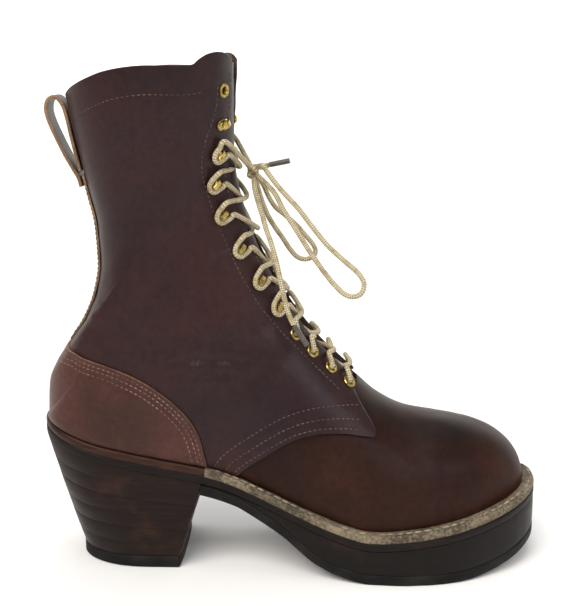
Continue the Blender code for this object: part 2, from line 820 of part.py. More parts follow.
def side_outline(table):
    """An edge table as places seen from the side."""
    return [(row.along * LENGTH, BALL_STACK + row.share * SHAFT) for row in table]


def side_shell(name, side, out_far, out_near, rows, look, collection):
    """A wall of one side of the upper, from the back to the ridge, a hair clear of the other side."""
    across = [step for step in across_steps() if step * side >= 0]
    grids = []
    for out in (out_far, out_near):
        grid = [[form_point(row, step, out) for step in across] for row in rows]
        for line in grid:
            for point in line:
                point.y = side * max(side * point.y, GAP / 2)
        grids.append(grid)
    every_row = range(len(rows) - 1)
    turn = 0 if side > 0 else len(across)
    return grid_shell(name, grids[0], grids[1], every_row, turn, look, collection)


def build_quarters(looks, collection, cutters, collar, throat):
    """The shaft's two outer leathers, over the vamp as far as their curved front edge."""
    edge = side_outline(QUARTER_EDGE)
    high = BALL_STACK + 1.3 * SHAFT
    back = -0.2 * LENGTH
    outline = edge + [(edge[-1][0], high), (back, high), (back, 0.0), (edge[0][0], 0.0)]
    region = side_prism("quarter_region", outline, BALL_WIDTH, cutters)
    rows = form_rows()[QUARTER_FIRST_ROW:]
    for side, name in ((-1, "quarter_outer"), (1, "quarter_inner")):
        quarter = side_shell(name, side, 0.0, -QUARTER_WALL, rows, looks["quarter"], collection)
        cut(quarter, region, "INTERSECT")
        cut(quarter, collar)
        cut(quarter, throat)


def build_counter(looks, collection, cutters):
    """The overlay round the heel, from the rand to its curved upper edge."""
    edge = side_outline(COUNTER_EDGE)
    outline = edge + [(edge[-1][0], -0.1 * LENGTH), (edge[0][0], -0.1 * LENGTH)]
    region = side_prism("counter_region", outline, BALL_WIDTH, cutters)
    rows = form_rows()[COUNTER_ROWS[0] : COUNTER_ROWS[1]]
    across = across_steps()
    grids = []
    for out in (GAP + COUNTER_WALL, GAP):
        grids.append([[form_point(row, step, out) for step in across] for row in rows])
    on_sole = [i for i, row in enumerate(rows) if row.rise == 0 and row.foot > 0]
    turn = len(across) // 2
    counter = grid_shell("counter", grids[0], grids[1], on_sole, turn, looks["quarter"], collection)
    cut(counter, region, "INTERSECT")


def back_place(rise, out):
    """A place on the back line, from its height as a share of BACK_HEIGHT and its distance outward."""
    back = [row for row in SECTIONS if row.rise > 0]
    foot = smooth_curve([row.rise for row in back], [row.foot for row in back], rise)
    start, end = HEEL_INSET - out, LENGTH - TOE_INSET + out
    return start + foot * (end - start), sole_top(HEEL_INSET) + UPPER_SEAT + rise * BACK_HEIGHT


def build_back_strap(looks, collection):
    """The narrow overlay up the back, from the counter to the pull loop's sewn end."""
    low = (COUNTER_EDGE[1].share * SHAFT + BALL_STACK + 2 * GAP - sole_top(HEEL_INSET)) / BACK_HEIGHT
    columns = 4
    between = [row for row in form_rows() if low + 0.01 < row.rise < STRAP_TOP - 0.01]
    rows = [section_at_rise(low)] + between + [section_at_rise(STRAP_TOP)]
    grids = []
    for out in (2 * GAP + COUNTER_WALL, 2 * GAP):
        grid = []
        for row in rows:
            line = []
            for c in range(columns + 1):
                side = (2 * c / columns - 1) * STRAP_WIDTH / 2
                line.append(back_point(row, side, out))
            grid.append(line)
        grids.append(grid)
    every_row = range(len(rows) - 1)
    grid_shell("back_strap", grids[0], grids[1], every_row, columns // 2, looks["quarter"], collection)


def section_at_rise(rise):
    """The section whose foot is at a height of the back line."""
    knots = [i for i, row in enumerate(SECTIONS) if row.rise > 0]
    rises = [SECTIONS[i].rise for i in knots]
    return section_between(smooth_curve(rises, knots, rise))


def back_point(row, side, out):
    """The form's point near the back line that lies a distance to the side of it."""
    near, far = 1.0, RIDGE_SHARE
    for _ in range(24):
        middle = (near + far) / 2
        if form_point(row, middle, out).y < abs(side):
            near = middle
        else:
            far = middle
    point = form_point(row, near, out)
    point.y = math.copysign(abs(side), side) if side else 0.0
    return point


def build_pull_loop(looks, collection):
    """A strip folded over the collar's back, its inner leg on the shaft and its outer leg on the strap."""
    middle = []
    for fold in PULL_LOOP:
        x, z = back_place(fold.rise, 0.0)
        middle.append(Vector((x - fold.out * PULL_LOOP_REACH, 0.0, z)))
    rings = []
    for i, place in enumerate(middle):
        along = (middle[min(i + 1, len(middle) - 1)] - middle[max(i - 1, 0)]).normalized()
        outward = Vector((-along.z, 0.0, along.x)) * PULL_LOOP_WALL / 2
        half = Vector((0.0, PULL_LOOP_WIDTH / 2, 0.0))
        rings.append(
            [place - outward - half, place - outward + half, place + outward + half, place + outward - half]
        )
    ring_loft("pull_loop", rings, looks["quarter"], collection)


def build_upper(looks, collection, cutters):
    outside = -(GAP + QUARTER_WALL)
    upper = form_shell("upper", outside, outside - LINED_WALL, looks["upper"], collection)
    collar = build_collar_cutter(cutters)
    throat = build_throat_cutter(cutters)
    cut(upper, collar)
    cut(upper, throat)
    build_tongue(looks, collection)
    build_quarters(looks, collection, cutters, collar, throat)
    build_counter(looks, collection, cutters)
    build_back_strap(looks, collection)
    build_pull_loop(looks, collection)


def facing_frame(height, side, inward=0.0):
    """The place on a facing at a height, with its outward, away-from-throat and downward directions."""
    goal = BALL_STACK + height * SHAFT
    low, high = float(THROAT_FIRST_ROW) - 1, float(len(SECTIONS) - 1)
    for _ in range(30):
        middle = (low + high) / 2
        row = section_between(middle)
        reach = throat_half(row) + FACING_MARGIN - inward
        if facing_point(row, side, reach).z < goal:
            low = middle
        else:
            high = middle
    reach = throat_half(row) + FACING_MARGIN - inward
    place = facing_point(row, side, reach)
    step = LACE / 4
    away = (facing_point(row, side, reach + step) - facing_point(row, side, reach - step)).normalized()
    above = section_between(min(high + 0.1, len(SECTIONS) - 1))
    below = section_between(max(low - 0.1, 0))
    up = (facing_point(above, side, reach) - facing_point(below, side, reach)).normalized()
    outward = away.cross(up) * side
    outward = outward.normalized() * (-1 if outward.x < 0 else 1)
    down = outward.cross(away).normalized()
    return place, outward, away, down


def facing_point(row, side, reach):
    """The form's point at a distance to the side of the ridge."""
    width = (row.lateral if side < 0 else row.medial) * BALL_WIDTH
    angle = math.acos(min(max(reach / width, 0.0), 1.0) ** (row.upper / 2))
    return form_point(row, side * RIDGE_SHARE * (1 - angle / (math.pi / 2)), 0.0)


def build_eyelet(name, frame, look, collection):
    """A rolled ring on the leather's face, turned from its profile."""
    place, outward, away, down = frame
    profile = [
        (EYELET_HOLE, GAP),
        (EYELET_RADIUS, GAP),
        (0.90 * EYELET_RADIUS, GAP + 0.7 * EYELET_HEIGHT),
        (0.70 * EYELET_RADIUS, GAP + EYELET_HEIGHT),
        (EYELET_HOLE, GAP + 0.5 * EYELET_HEIGHT),
    ]
    sides = EYELET_SIDES
    rings = []
    for i in range(sides):
        turn = 2 * math.pi * i / sides
        radial = away * math.cos(turn) + down * math.sin(turn)
        rings.append([place + radial * r + outward * h for r, h in profile])
    count = len(profile)
    points = [point for ring in rings for point in ring]
    faces = []
    for i in range(sides):
        j = (i + 1) % sides
        for k in range(count):
            m = (k + 1) % count
            faces.append((i * count + k, i * count + m, j * count + m, j * count + k))
    add_object(name, mesh_from(name, points, faces), look, collection)


def build_hook(name, frame, look, collection):
    """A lacing hook: a base plate whose throat end rises and curls back away from the throat."""
    place, outward, away, down = frame
    wall, high, base = HOOK_WALL, HOOK_HEIGHT, HOOK_BASE
    outline = [
        (base, GAP),
        (base, GAP + wall),
        (-0.55 * base, GAP + wall),
        (-0.62 * base, GAP + 0.45 * high),
        (-0.40 * base, GAP + high - 1.3 * wall),
        (0.05 * base, GAP + high - wall),
        (0.40 * base, GAP + high - 1.6 * wall),
        (0.55 * base, GAP + high - 0.9 * wall),
        (0.10 * base, GAP + high),
        (-0.50 * base, GAP + high - 0.3 * wall),
        (-0.85 * base, GAP + 0.5 * high),
        (-0.80 * base, GAP),
    ]
    rings = []
    for side in (-1, 1):
        shift = down * side * HOOK_WIDTH / 2
        rings.append([place + away * a + outward * o + shift for a, o in outline])
    ring_loft(name, rings, look, collection)


def build_fasteners(looks, collection):
    for side, side_name in ((-1, "outer"), (1, "inner")):
        for number, fastener in enumerate(FASTENERS, start=1):
            frame = facing_frame(fastener.height, side)
            name = f"{fastener.kind}_{side_name}_{number}"
            builder = build_eyelet if fastener.kind == "eyelet" else build_hook
            builder(name, frame, looks["brass"], collection)


def smooth_route(points, step):
    """Places on a smooth curve through the route's points, a step apart."""
    places = [Vector(point) for point in points]
    fine = []
    for i in range(len(places) - 1):
        before = places[max(i - 1, 0)]
        after = places[min(i + 2, len(places) - 1)]
        start, end = places[i], places[i + 1]
        for k in range(12):
            t = k / 12
            fine.append(
                0.5
                * (
                    2 * start
                    + (end - before) * t
                    + (2 * before - 5 * start + 4 * end - after) * t * t
                    + (3 * start - before - 3 * end + after) * t**3
                )
            )
    fine.append(places[-1])
    lengths = [0.0]
    for a, b in zip(fine, fine[1:]):
        lengths.append(lengths[-1] + (b - a).length)
    count = max(2, round(lengths[-1] / step))
    route, k = [], 0
    for i in range(count + 1):
        goal = lengths[-1] * i / count
        while k < len(fine) - 2 and lengths[k + 1] < goal:
            k += 1
        t = (goal - lengths[k]) / (lengths[k + 1] - lengths[k])
        route.append(fine[k].lerp(fine[k + 1], min(t, 1.0)))
    return route


def cord_tube(name, route, diameter, look, collection):
    """A round cord along a route, with closed ends."""
    curve = bpy.data.curves.new(name, "CURVE")
    curve.dimensions = "3D"
    spline = curve.splines.new("POLY")
    spline.points.add(len(route) - 1)
    for point, place in zip(spline.points, route):
        point.co = (*place, 1.0)
    curve.bevel_depth = diameter / 2
    curve.bevel_resolution = 2
    curve.use_fill_caps = True
    obj = bpy.data.objects.new(name, curve)
    curve.materials.append(look)
    collection.objects.link(obj)
    return obj


def build_crossings(looks, collection):
    """The lace between the facings, one strand down and, from the lowest bar, one strand up over it."""
    stations = FASTENERS[LACED_FROM:]
    down, up = [], []
    for i, fastener in enumerate(stations):
        side = -1 if i % 2 else 1
        for strand, way in ((down, side), (up, -side)):
            place, outward, away, below = facing_frame(fastener.height, way, CROSSING_INSET)
            strand.append(place + outward * CROSSING_LIFT)
    route = []
    for strand, depth in ((down, CROSSING_DEPTH), (up[::-1], CROSSING_DEPTH - LACE - 2 * GAP)):
        for i, place in enumerate(strand):
            route.append(place)
            if i + 1 < len(strand):
                middle = place.lerp(strand[i + 1], 0.5)
                goal = (middle.z - BALL_STACK) / SHAFT
                ridge_place, ridge_out = ridge_frame(goal)
                route.append(ridge_place - ridge_out * depth)
    cord_tube("lace_crossings", route, LACE, looks["lace"], collection)


def ridge_frame(height):
    """The ridge's place at a height, with its outward direction."""
    knots = [row.ridge_z for row in SECTIONS[8:]]
    at = 8 + smooth_curve(knots, list(range(len(knots))), height)
    row = section_between(at)
    place = form_point(row, 0.0, 0.0)
    ahead = form_point(section_between(at + 0.2), 0.0, 0.0)
    up = (ahead - place).normalized()
    return place, Vector((up.z, 0.0, -up.x))


def knot_exit(toward):
    """The place just off the knot's surface in the direction of another place."""
    centre = Vector(KNOT_CENTRE)
    way = Vector(toward) - centre
    reach = 1 / math.sqrt(sum((w / r) ** 2 for w, r in zip(way, KNOT_RADII)))
    return centre + way * reach + way.normalized() * KNOT_CLEARANCE


def build_bow(looks, collection):
    """The knot, two loops and two tipped ends of the tied lace."""
    bpy.ops.mesh.primitive_uv_sphere_add(segments=12, ring_count=8, radius=1.0)
    knot = bpy.context.active_object
    knot.name = knot.data.name = "lace_knot"
    knot.scale = KNOT_RADII
    knot.location = KNOT_CENTRE
    knot.data.materials.append(looks["lace"])
    knot.data.shade_smooth()
    for other in list(knot.users_collection):
        other.objects.unlink(knot)
    collection.objects.link(knot)
    for name, route, returns in (
        ("bow_loop_outer", BOW_LOOP_OUTER, True),
        ("bow_loop_inner", BOW_LOOP_INNER, True),
        ("lace_end_long", LACE_END_LONG, False),
        ("lace_end_short", LACE_END_SHORT, False),
    ):
        places = [knot_exit(route[0])] + route + ([knot_exit(route[-1])] if returns else [])
        cord_tube(name, smooth_route(places, CORD_STEP), LACE, looks["lace"], collection)
    cord_tube("lace_tip_long", LACE_TIP_LONG, AGLET, looks["aglet"], collection)
    cord_tube("lace_tip_short", LACE_TIP_SHORT, AGLET, looks["aglet"], collection)


def place_on_heel():
    """Moves the boot, cutters too, so that the origin is at the middle of the top lift's lower face."""
    heel_middle = (HEEL_BOTTOM_BACK + HEEL_BOTTOM_BREAST) / 2
    frame = bpy.data.objects.new("boot_frame", None)
    bpy.context.scene.collection.objects.link(frame)
    for obj in bpy.data.objects:
        if obj != frame:
            obj.parent = frame
    frame.location.x = -heel_middle


def make_looks():
    return {
        "upper": material("vamp_leather", (0.034, 0.015, 0.011), 0.42),
        "quarter": material("oxblood_leather", (0.048, 0.022, 0.020), 0.38),
        "brass": material("brass", (0.60, 0.45, 0.18), 0.28, 1.0),
        "lace": material("natural_cord", (0.62, 0.55, 0.42), 0.85),
        "aglet": material("lace_tip", (0.30, 0.28, 0.24), 0.35, 0.6),
        "tongue": material("tongue_leather", (0.045, 0.020, 0.014), 0.60),
        "sole": material("edge_stained_leather", (0.012, 0.009, 0.008), 0.50),
        "rubber": material("black_rubber", (0.008, 0.008, 0.008), 0.70),
        "heel": material("stacked_leather", (0.022, 0.010, 0.007), 0.45),
        "welt": material("natural_welt", (0.190, 0.150, 0.110), 0.75),
        "insole": material("insole_leather", (0.330, 0.220, 0.130), 0.80),
        "cutter": material("cutter", (0.8, 0.1, 0.1), 0.5),
    }


def main():
    clear_scene()
    boot = make_collection("logger_boot")
    cutters = make_collection("cutters")
    looks = make_looks()
    build_sole(looks, boot)
    build_heel(looks, boot)
    build_upper(looks, boot, cutters)
    build_fasteners(looks, boot)
    build_crossings(looks, boot)
    build_bow(looks, boot)
    place_on_heel()


if __name__ == "__main__":
    main()
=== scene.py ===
"""The looks of a laced logger boot for the right foot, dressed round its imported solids.

X runs from the heel to the toe, Y to the inner side of the boot, Z up, in metres. The boot's own tables
measure x from the heel's back, and Last.place moves a point from there to the frame's origin.
"""

import logging
import math
from dataclasses import dataclass, field
from enum import Enum
from typing import Callable, NamedTuple, Sequence

import bmesh
import bpy
import numpy as np
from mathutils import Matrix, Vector, noise
from mathutils.bvhtree import BVHTree


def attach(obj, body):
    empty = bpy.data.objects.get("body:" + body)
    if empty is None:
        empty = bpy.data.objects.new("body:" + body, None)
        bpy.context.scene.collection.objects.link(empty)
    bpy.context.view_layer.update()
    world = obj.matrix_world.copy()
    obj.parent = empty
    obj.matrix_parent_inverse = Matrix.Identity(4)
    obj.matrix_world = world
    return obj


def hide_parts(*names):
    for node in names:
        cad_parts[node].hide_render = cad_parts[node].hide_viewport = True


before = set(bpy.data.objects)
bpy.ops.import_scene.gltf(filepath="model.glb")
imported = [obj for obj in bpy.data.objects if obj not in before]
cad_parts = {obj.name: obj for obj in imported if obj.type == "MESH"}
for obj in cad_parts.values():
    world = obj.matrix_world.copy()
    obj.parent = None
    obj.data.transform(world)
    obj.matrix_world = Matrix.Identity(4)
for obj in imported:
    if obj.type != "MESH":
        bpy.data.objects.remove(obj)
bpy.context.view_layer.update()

LOG = logging.getLogger("logger_boot")
MM = 0.001
BODY = "root"


class Side(Enum):
    """The two sides of the boot, with the sign of their Y."""

    OUTER = -1
    INNER = 1


class Skin(Enum):
    """The material slots of a leather piece: its grain face, its cut edge and its flesh side."""

    GRAIN = 0
    EDGE = 1
    FLESH = 2


class Level(NamedTuple):
    """A height at one place along the boot, both as shares of sizes that the table's user names."""

    along: float
    share: float


class Width(NamedTuple):
    """The sole's edge at one place: shares of the length, and of the ball's width for the other two."""

    along: float
    centre: float
    half: float


class Section(NamedTuple):
    """One section of the upper, from its foot on the welt or the back line to the ridge at the front.

    foot and ridge_x are shares of the feather line's length, rise of the back's height, ridge_z of the
    shaft's height over the ball, and ridge_y, lateral and medial of the ball's width. widest is the share
    of the way to the ridge with the full width, and upper and lower shape the curve on its two sides.
    """

    foot: float
    rise: float
    ridge_x: float
    ridge_z: float
    ridge_y: float
    lateral: float
    medial: float
    widest: float
    upper: float
    lower: float


class Fastener(NamedTuple):
    """One station of the lacing: its height as a share of the shaft over the ball, and what is set there."""

    height: float
    kind: str


class Crease(NamedTuple):
    """A soft trough seen from the side: its places, depth and width in mm, and its side or 0 for both."""

    path: tuple[tuple[float, float], ...]
    depth: float
    width: float
    side: int


SOLE_EDGE = [
    Width(0.00, 0.000, 0.332), Width(0.13, 0.000, 0.334), Width(0.27, -0.010, 0.322),
    Width(0.37, -0.020, 0.322), Width(0.47, -0.024, 0.352), Width(0.57, -0.018, 0.416),
    Width(0.67, 0.000, 0.478), Width(0.74, 0.016, 0.498), Width(0.82, 0.038, 0.490),
    Width(0.90, 0.058, 0.462), Width(1.00, 0.078, 0.425),
]
PITCH = [
    Level(0.000, 1.000), Level(0.050, 0.915), Level(0.133, 0.795), Level(0.233, 0.680),
    Level(0.333, 0.585), Level(0.373, 0.525), Level(0.433, 0.400), Level(0.500, 0.250),
    Level(0.567, 0.115), Level(0.617, 0.035), Level(0.655, 0.000), Level(1.000, 0.000),
]
RISE = [Level(0.68, 0.00), Level(0.76, 0.13), Level(0.83, 0.30), Level(0.92, 0.60), Level(1.00, 1.00)]
SPRING = [Level(0.80, 0.00), Level(0.85, 0.06), Level(0.90, 0.24), Level(0.95, 0.55), Level(1.00, 1.00)]
PLATFORM = [
    Level(0.40, 0.00), Level(0.44, 0.14), Level(0.49, 0.38), Level(0.52, 0.66), Level(0.55, 0.90),
    Level(0.58, 1.00),
]
SECTIONS = [
    Section(1.000, 0.000, 1.000, 0.068, 0.078, 0.000, 0.000, 0.30, 2.0, 2.0),
    Section(0.997, 0.000, 0.997, 0.093, 0.078, 0.000, 0.000, 0.30, 2.0, 2.0),
    Section(0.990, 0.000, 0.990, 0.117, 0.077, 0.000, 0.000, 0.30, 2.1, 2.0),
    Section(0.978, 0.000, 0.978, 0.138, 0.075, 0.000, 0.000, 0.30, 2.2, 2.0),
    Section(0.960, 0.000, 0.960, 0.158, 0.072, 0.000, 0.000, 0.30, 2.3, 2.0),
    Section(0.935, 0.000, 0.935, 0.176, 0.068, 0.000, 0.000, 0.30, 2.3, 2.0),
    Section(0.900, 0.000, 0.900, 0.192, 0.064, 0.000, 0.000, 0.28, 2.3, 2.0),
    Section(0.855, 0.000, 0.857, 0.205, 0.060, 0.000, 0.000, 0.26, 2.2, 2.0),
    Section(0.800, 0.000, 0.806, 0.215, 0.056, 0.455, 0.455, 0.25, 2.1, 2.0),
    Section(0.740, 0.000, 0.7475, 0.229, 0.050, 0.455, 0.455, 0.25, 2.0, 2.0),
    Section(0.680, 0.000, 0.690, 0.262, 0.042, 0.440, 0.440, 0.26, 1.95, 2.0),
    Section(0.620, 0.000, 0.641, 0.307, 0.034, 0.410, 0.410, 0.27, 2.0, 2.0),
    Section(0.555, 0.000, 0.593, 0.356, 0.026, 0.380, 0.378, 0.28, 2.05, 2.0),
    Section(0.480, 0.000, 0.552, 0.405, 0.018, 0.352, 0.348, 0.30, 2.1, 2.0),
    Section(0.400, 0.000, 0.516, 0.459, 0.012, 0.336, 0.330, 0.32, 2.15, 2.0),
    Section(0.320, 0.000, 0.485, 0.515, 0.008, 0.330, 0.325, 0.34, 2.2, 2.0),
    Section(0.245, 0.000, 0.459, 0.570, 0.004, 0.328, 0.324, 0.36, 2.3, 2.0),
    Section(0.170, 0.000, 0.438, 0.622, -0.004, 0.326, 0.324, 0.38, 2.35, 2.0),
    Section(0.100, 0.000, 0.423, 0.668, -0.008, 0.324, 0.322, 0.39, 2.4, 2.0),
    Section(0.045, 0.000, 0.412, 0.705, -0.012, 0.322, 0.320, 0.40, 2.45, 2.05),
    Section(0.012, 0.000, 0.405, 0.733, -0.016, 0.320, 0.318, 0.41, 2.5, 2.1),
    Section(0.000, 0.000, 0.401, 0.753, -0.018, 0.319, 0.317, 0.41, 2.5, 2.1),
    Section(0.002, 0.053, 0.3985, 0.770, -0.020, 0.318, 0.316, 0.42, 2.5, 2.1),
    Section(0.006, 0.116, 0.397, 0.787, -0.022, 0.317, 0.315, 0.42, 2.5, 2.1),
    Section(0.021, 0.172, 0.3955, 0.803, -0.024, 0.317, 0.315, 0.43, 2.5, 2.05),
    Section(0.046, 0.237, 0.395, 0.820, -0.025, 0.318, 0.316, 0.43, 2.5, 2.0),
    Section(0.080, 0.316, 0.395, 0.839, -0.025, 0.322, 0.320, 0.44, 2.5, 2.0),
    Section(0.103, 0.400, 0.3955, 0.859, -0.025, 0.331, 0.329, 0.45, 2.5, 2.0),
    Section(0.114, 0.495, 0.396, 0.881, -0.025, 0.345, 0.343, 0.46, 2.5, 2.0),
    Section(0.111, 0.605, 0.397, 0.906, -0.025, 0.366, 0.364, 0.47, 2.5, 2.0),
    Section(0.098, 0.705, 0.398, 0.930, -0.025, 0.389, 0.387, 0.47, 2.45, 2.0),
    Section(0.081, 0.816, 0.399, 0.953, -0.025, 0.412, 0.410, 0.48, 2.4, 2.0),
    Section(0.067, 0.916, 0.400, 0.975, -0.025, 0.432, 0.430, 0.48, 2.4, 2.0),
    Section(0.057, 1.005, 0.400, 0.997, -0.025, 0.447, 0.445, 0.48, 2.4, 2.0),
    Section(0.050, 1.074, 0.400, 1.044, -0.025, 0.458, 0.456, 0.48, 2.4, 2.0),
    Section(0.045, 1.137, 0.400, 1.080, -0.025, 0.466, 0.464, 0.48, 2.4, 2.0),
]
# The collar, the quarters' front edge and the counter's upper edge, seen from the side
RIM = [
    Level(0.030, 0.912), Level(0.060, 0.920), Level(0.093, 0.944), Level(0.133, 0.964),
    Level(0.175, 0.979), Level(0.235, 0.988), Level(0.318, 0.988), Level(0.337, 1.000),
    Level(0.353, 1.011), Level(0.373, 1.015), Level(0.387, 1.007), Level(0.396, 0.990),
    Level(0.400, 0.960), Level(0.440, 0.955),
]
QUARTER_EDGE = [
    Level(0.380, 0.000), Level(0.388, 0.085), Level(0.403, 0.117), Level(0.427, 0.140),
    Level(0.453, 0.160), Level(0.480, 0.180), Level(0.510, 0.198), Level(0.540, 0.208),
    Level(0.570, 0.212), Level(0.607, 0.211), Level(0.640, 0.205), Level(0.662, 0.200),
    Level(0.668, 0.206), Level(0.662, 0.222), Level(0.650, 0.243), Level(0.634, 0.272),
    Level(0.622, 0.300), Level(0.617, 0.330), Level(0.617, 0.450),
]
COUNTER_EDGE = [
    Level(-0.100, 0.382), Level(0.060, 0.382), Level(0.100, 0.370), Level(0.150, 0.354),
    Level(0.210, 0.325), Level(0.260, 0.288), Level(0.300, 0.245), Level(0.322, 0.205),
    Level(0.333, 0.160), Level(0.338, 0.120), Level(0.340, 0.000),
]
# The welt's edge from its foot up: out from the sole's edge in mm, and the share of its thickness
WELT_PROFILE = [(0.0, 0.0), (0.35, 0.25), (0.45, 0.5), (0.30, 0.78), (-0.35, 1.0), (-2.4, 1.04), (-5.0, 1.0)]
# A heel lift's edge from its foot up: the share of its thickness, and how far it stands in
LIFT_PROFILE = [(0.004, 0.00014), (0.05, 0.0), (0.5, -0.00002), (0.95, 0.0), (0.996, 0.00014)]
BOOT_MIDDLE = (0.09, 0.0, 0.14)
FASTENERS = [
    Fastener(0.937, "eyelet"), Fastener(0.867, "hook"), Fastener(0.804, "hook"),
    Fastener(0.741, "hook"), Fastener(0.674, "hook"), Fastener(0.600, "hook"), Fastener(0.530, "hook"),
    Fastener(0.470, "hook"), Fastener(0.415, "eyelet"), Fastener(0.375, "eyelet"),
    Fastener(0.338, "eyelet"), Fastener(0.304, "eyelet"),
]


def smooth(knots: Sequence[float], values: Sequence[float], at: object) -> np.ndarray:
    """A curve through the knots that doesn't overshoot, and is level past both ends.

    Args:
        knots: the places that the table gives, in rising order.
        values: the value at each of them.
        at: one place or an array of places.

    Returns:
        The values there, in the shape of at.
    """
    k, v = np.asarray(knots, float), np.asarray(values, float)
    step = np.diff(k)
    slope = np.diff(v) / step
    product, total = slope[:-1] * slope[1:], slope[:-1] + slope[1:]
    inner = np.where(product > 0, 2 * product / np.where(total == 0, 1, total), 0)
    tangent = np.concatenate([slope[:1], inner, slope[-1:]])
    place = np.clip(np.asarray(at, float), k[0], k[-1])
    i = np.clip(np.searchsorted(k, place, side="right") - 1, 0, len(step) - 1)
    t = (place - k[i]) / step[i]
    return (
        (1 + 2 * t) * (1 - t) ** 2 * v[i]
        + t * (1 - t) ** 2 * step[i] * tangent[i]
        + t * t * (3 - 2 * t) * v[i + 1]
        + t * t * (t - 1) * step[i] * tangent[i + 1]
    )


def rounded(share: np.ndarray, power: float) -> np.ndarray:
    """The half width of a superellipse, from 0 at its tip to 1 at its middle."""
    return (1 - (1 - np.clip(share, 0, 1)) ** power) ** (1 / power)


def eased(start: float, end: float, count: int) -> np.ndarray:
    """Places from start to end, closer together at both ends."""
    return start + (end - start) * (1 - np.cos(np.pi * np.arange(count + 1) / count)) / 2


def spline(points: Sequence[Sequence[float]], step: float) -> np.ndarray:
    """Evenly spaced places on a smooth curve through a few points.

    Args:
        points: what the curve passes through, in 2 or 3 dimensions.
        step: the distance between the places.

    Returns:
        An array with one place a row, both ends included.
    """
    knots = np.asarray(points, float)
    padded = np.vstack([knots[:1], knots, knots[-1:]])
    fine = []
    for i in range(len(knots) - 1):
        a, b, c, d = padded[i : i + 4]
        t = np.linspace(0, 1, 16, endpoint=False)[:, None]
        fine.append(
            0.5
            * (
                2 * b
                + (c - a) * t
                + (2 * a - 5 * b + 4 * c - d) * t**2
                + (3 * b - a - 3 * c + d) * t**3
            )
        )
    line = np.vstack([*fine, knots[-1:]])
    return evenly(line, step)


def evenly(line: np.ndarray, step: float) -> np.ndarray:
    """A polyline's places about a step apart, with both of its ends.

    Args:
        line: the polyline's places, one a row.
        step: about how far apart the new places are.

    Returns:
        The new places, one a row.
    """
    lengths = np.concatenate([[0], np.cumsum(np.linalg.norm(np.diff(line, axis=0), axis=1))])
    goals = np.linspace(0, lengths[-1], max(2, round(lengths[-1] / step)) + 1)
    return np.stack([np.interp(goals, lengths, column) for column in line.T], axis=1)


def linear(hex_colour: str) -> tuple[float, float, float, float]:
    """An sRGB hex colour, such as 4b2b26, as linear red, green, blue and alpha.

    Args:
        hex_colour: its six digits.

    Returns:
        Red, green, blue and alpha.
    """
    parts = [int(hex_colour[i : i + 2], 16) / 255 for i in (0, 2, 4)]
    turned = [c / 12.92 if c <= 0.04045 else ((c + 0.055) / 1.055) ** 2.4 for c in parts]
    return (*turned, 1.0)


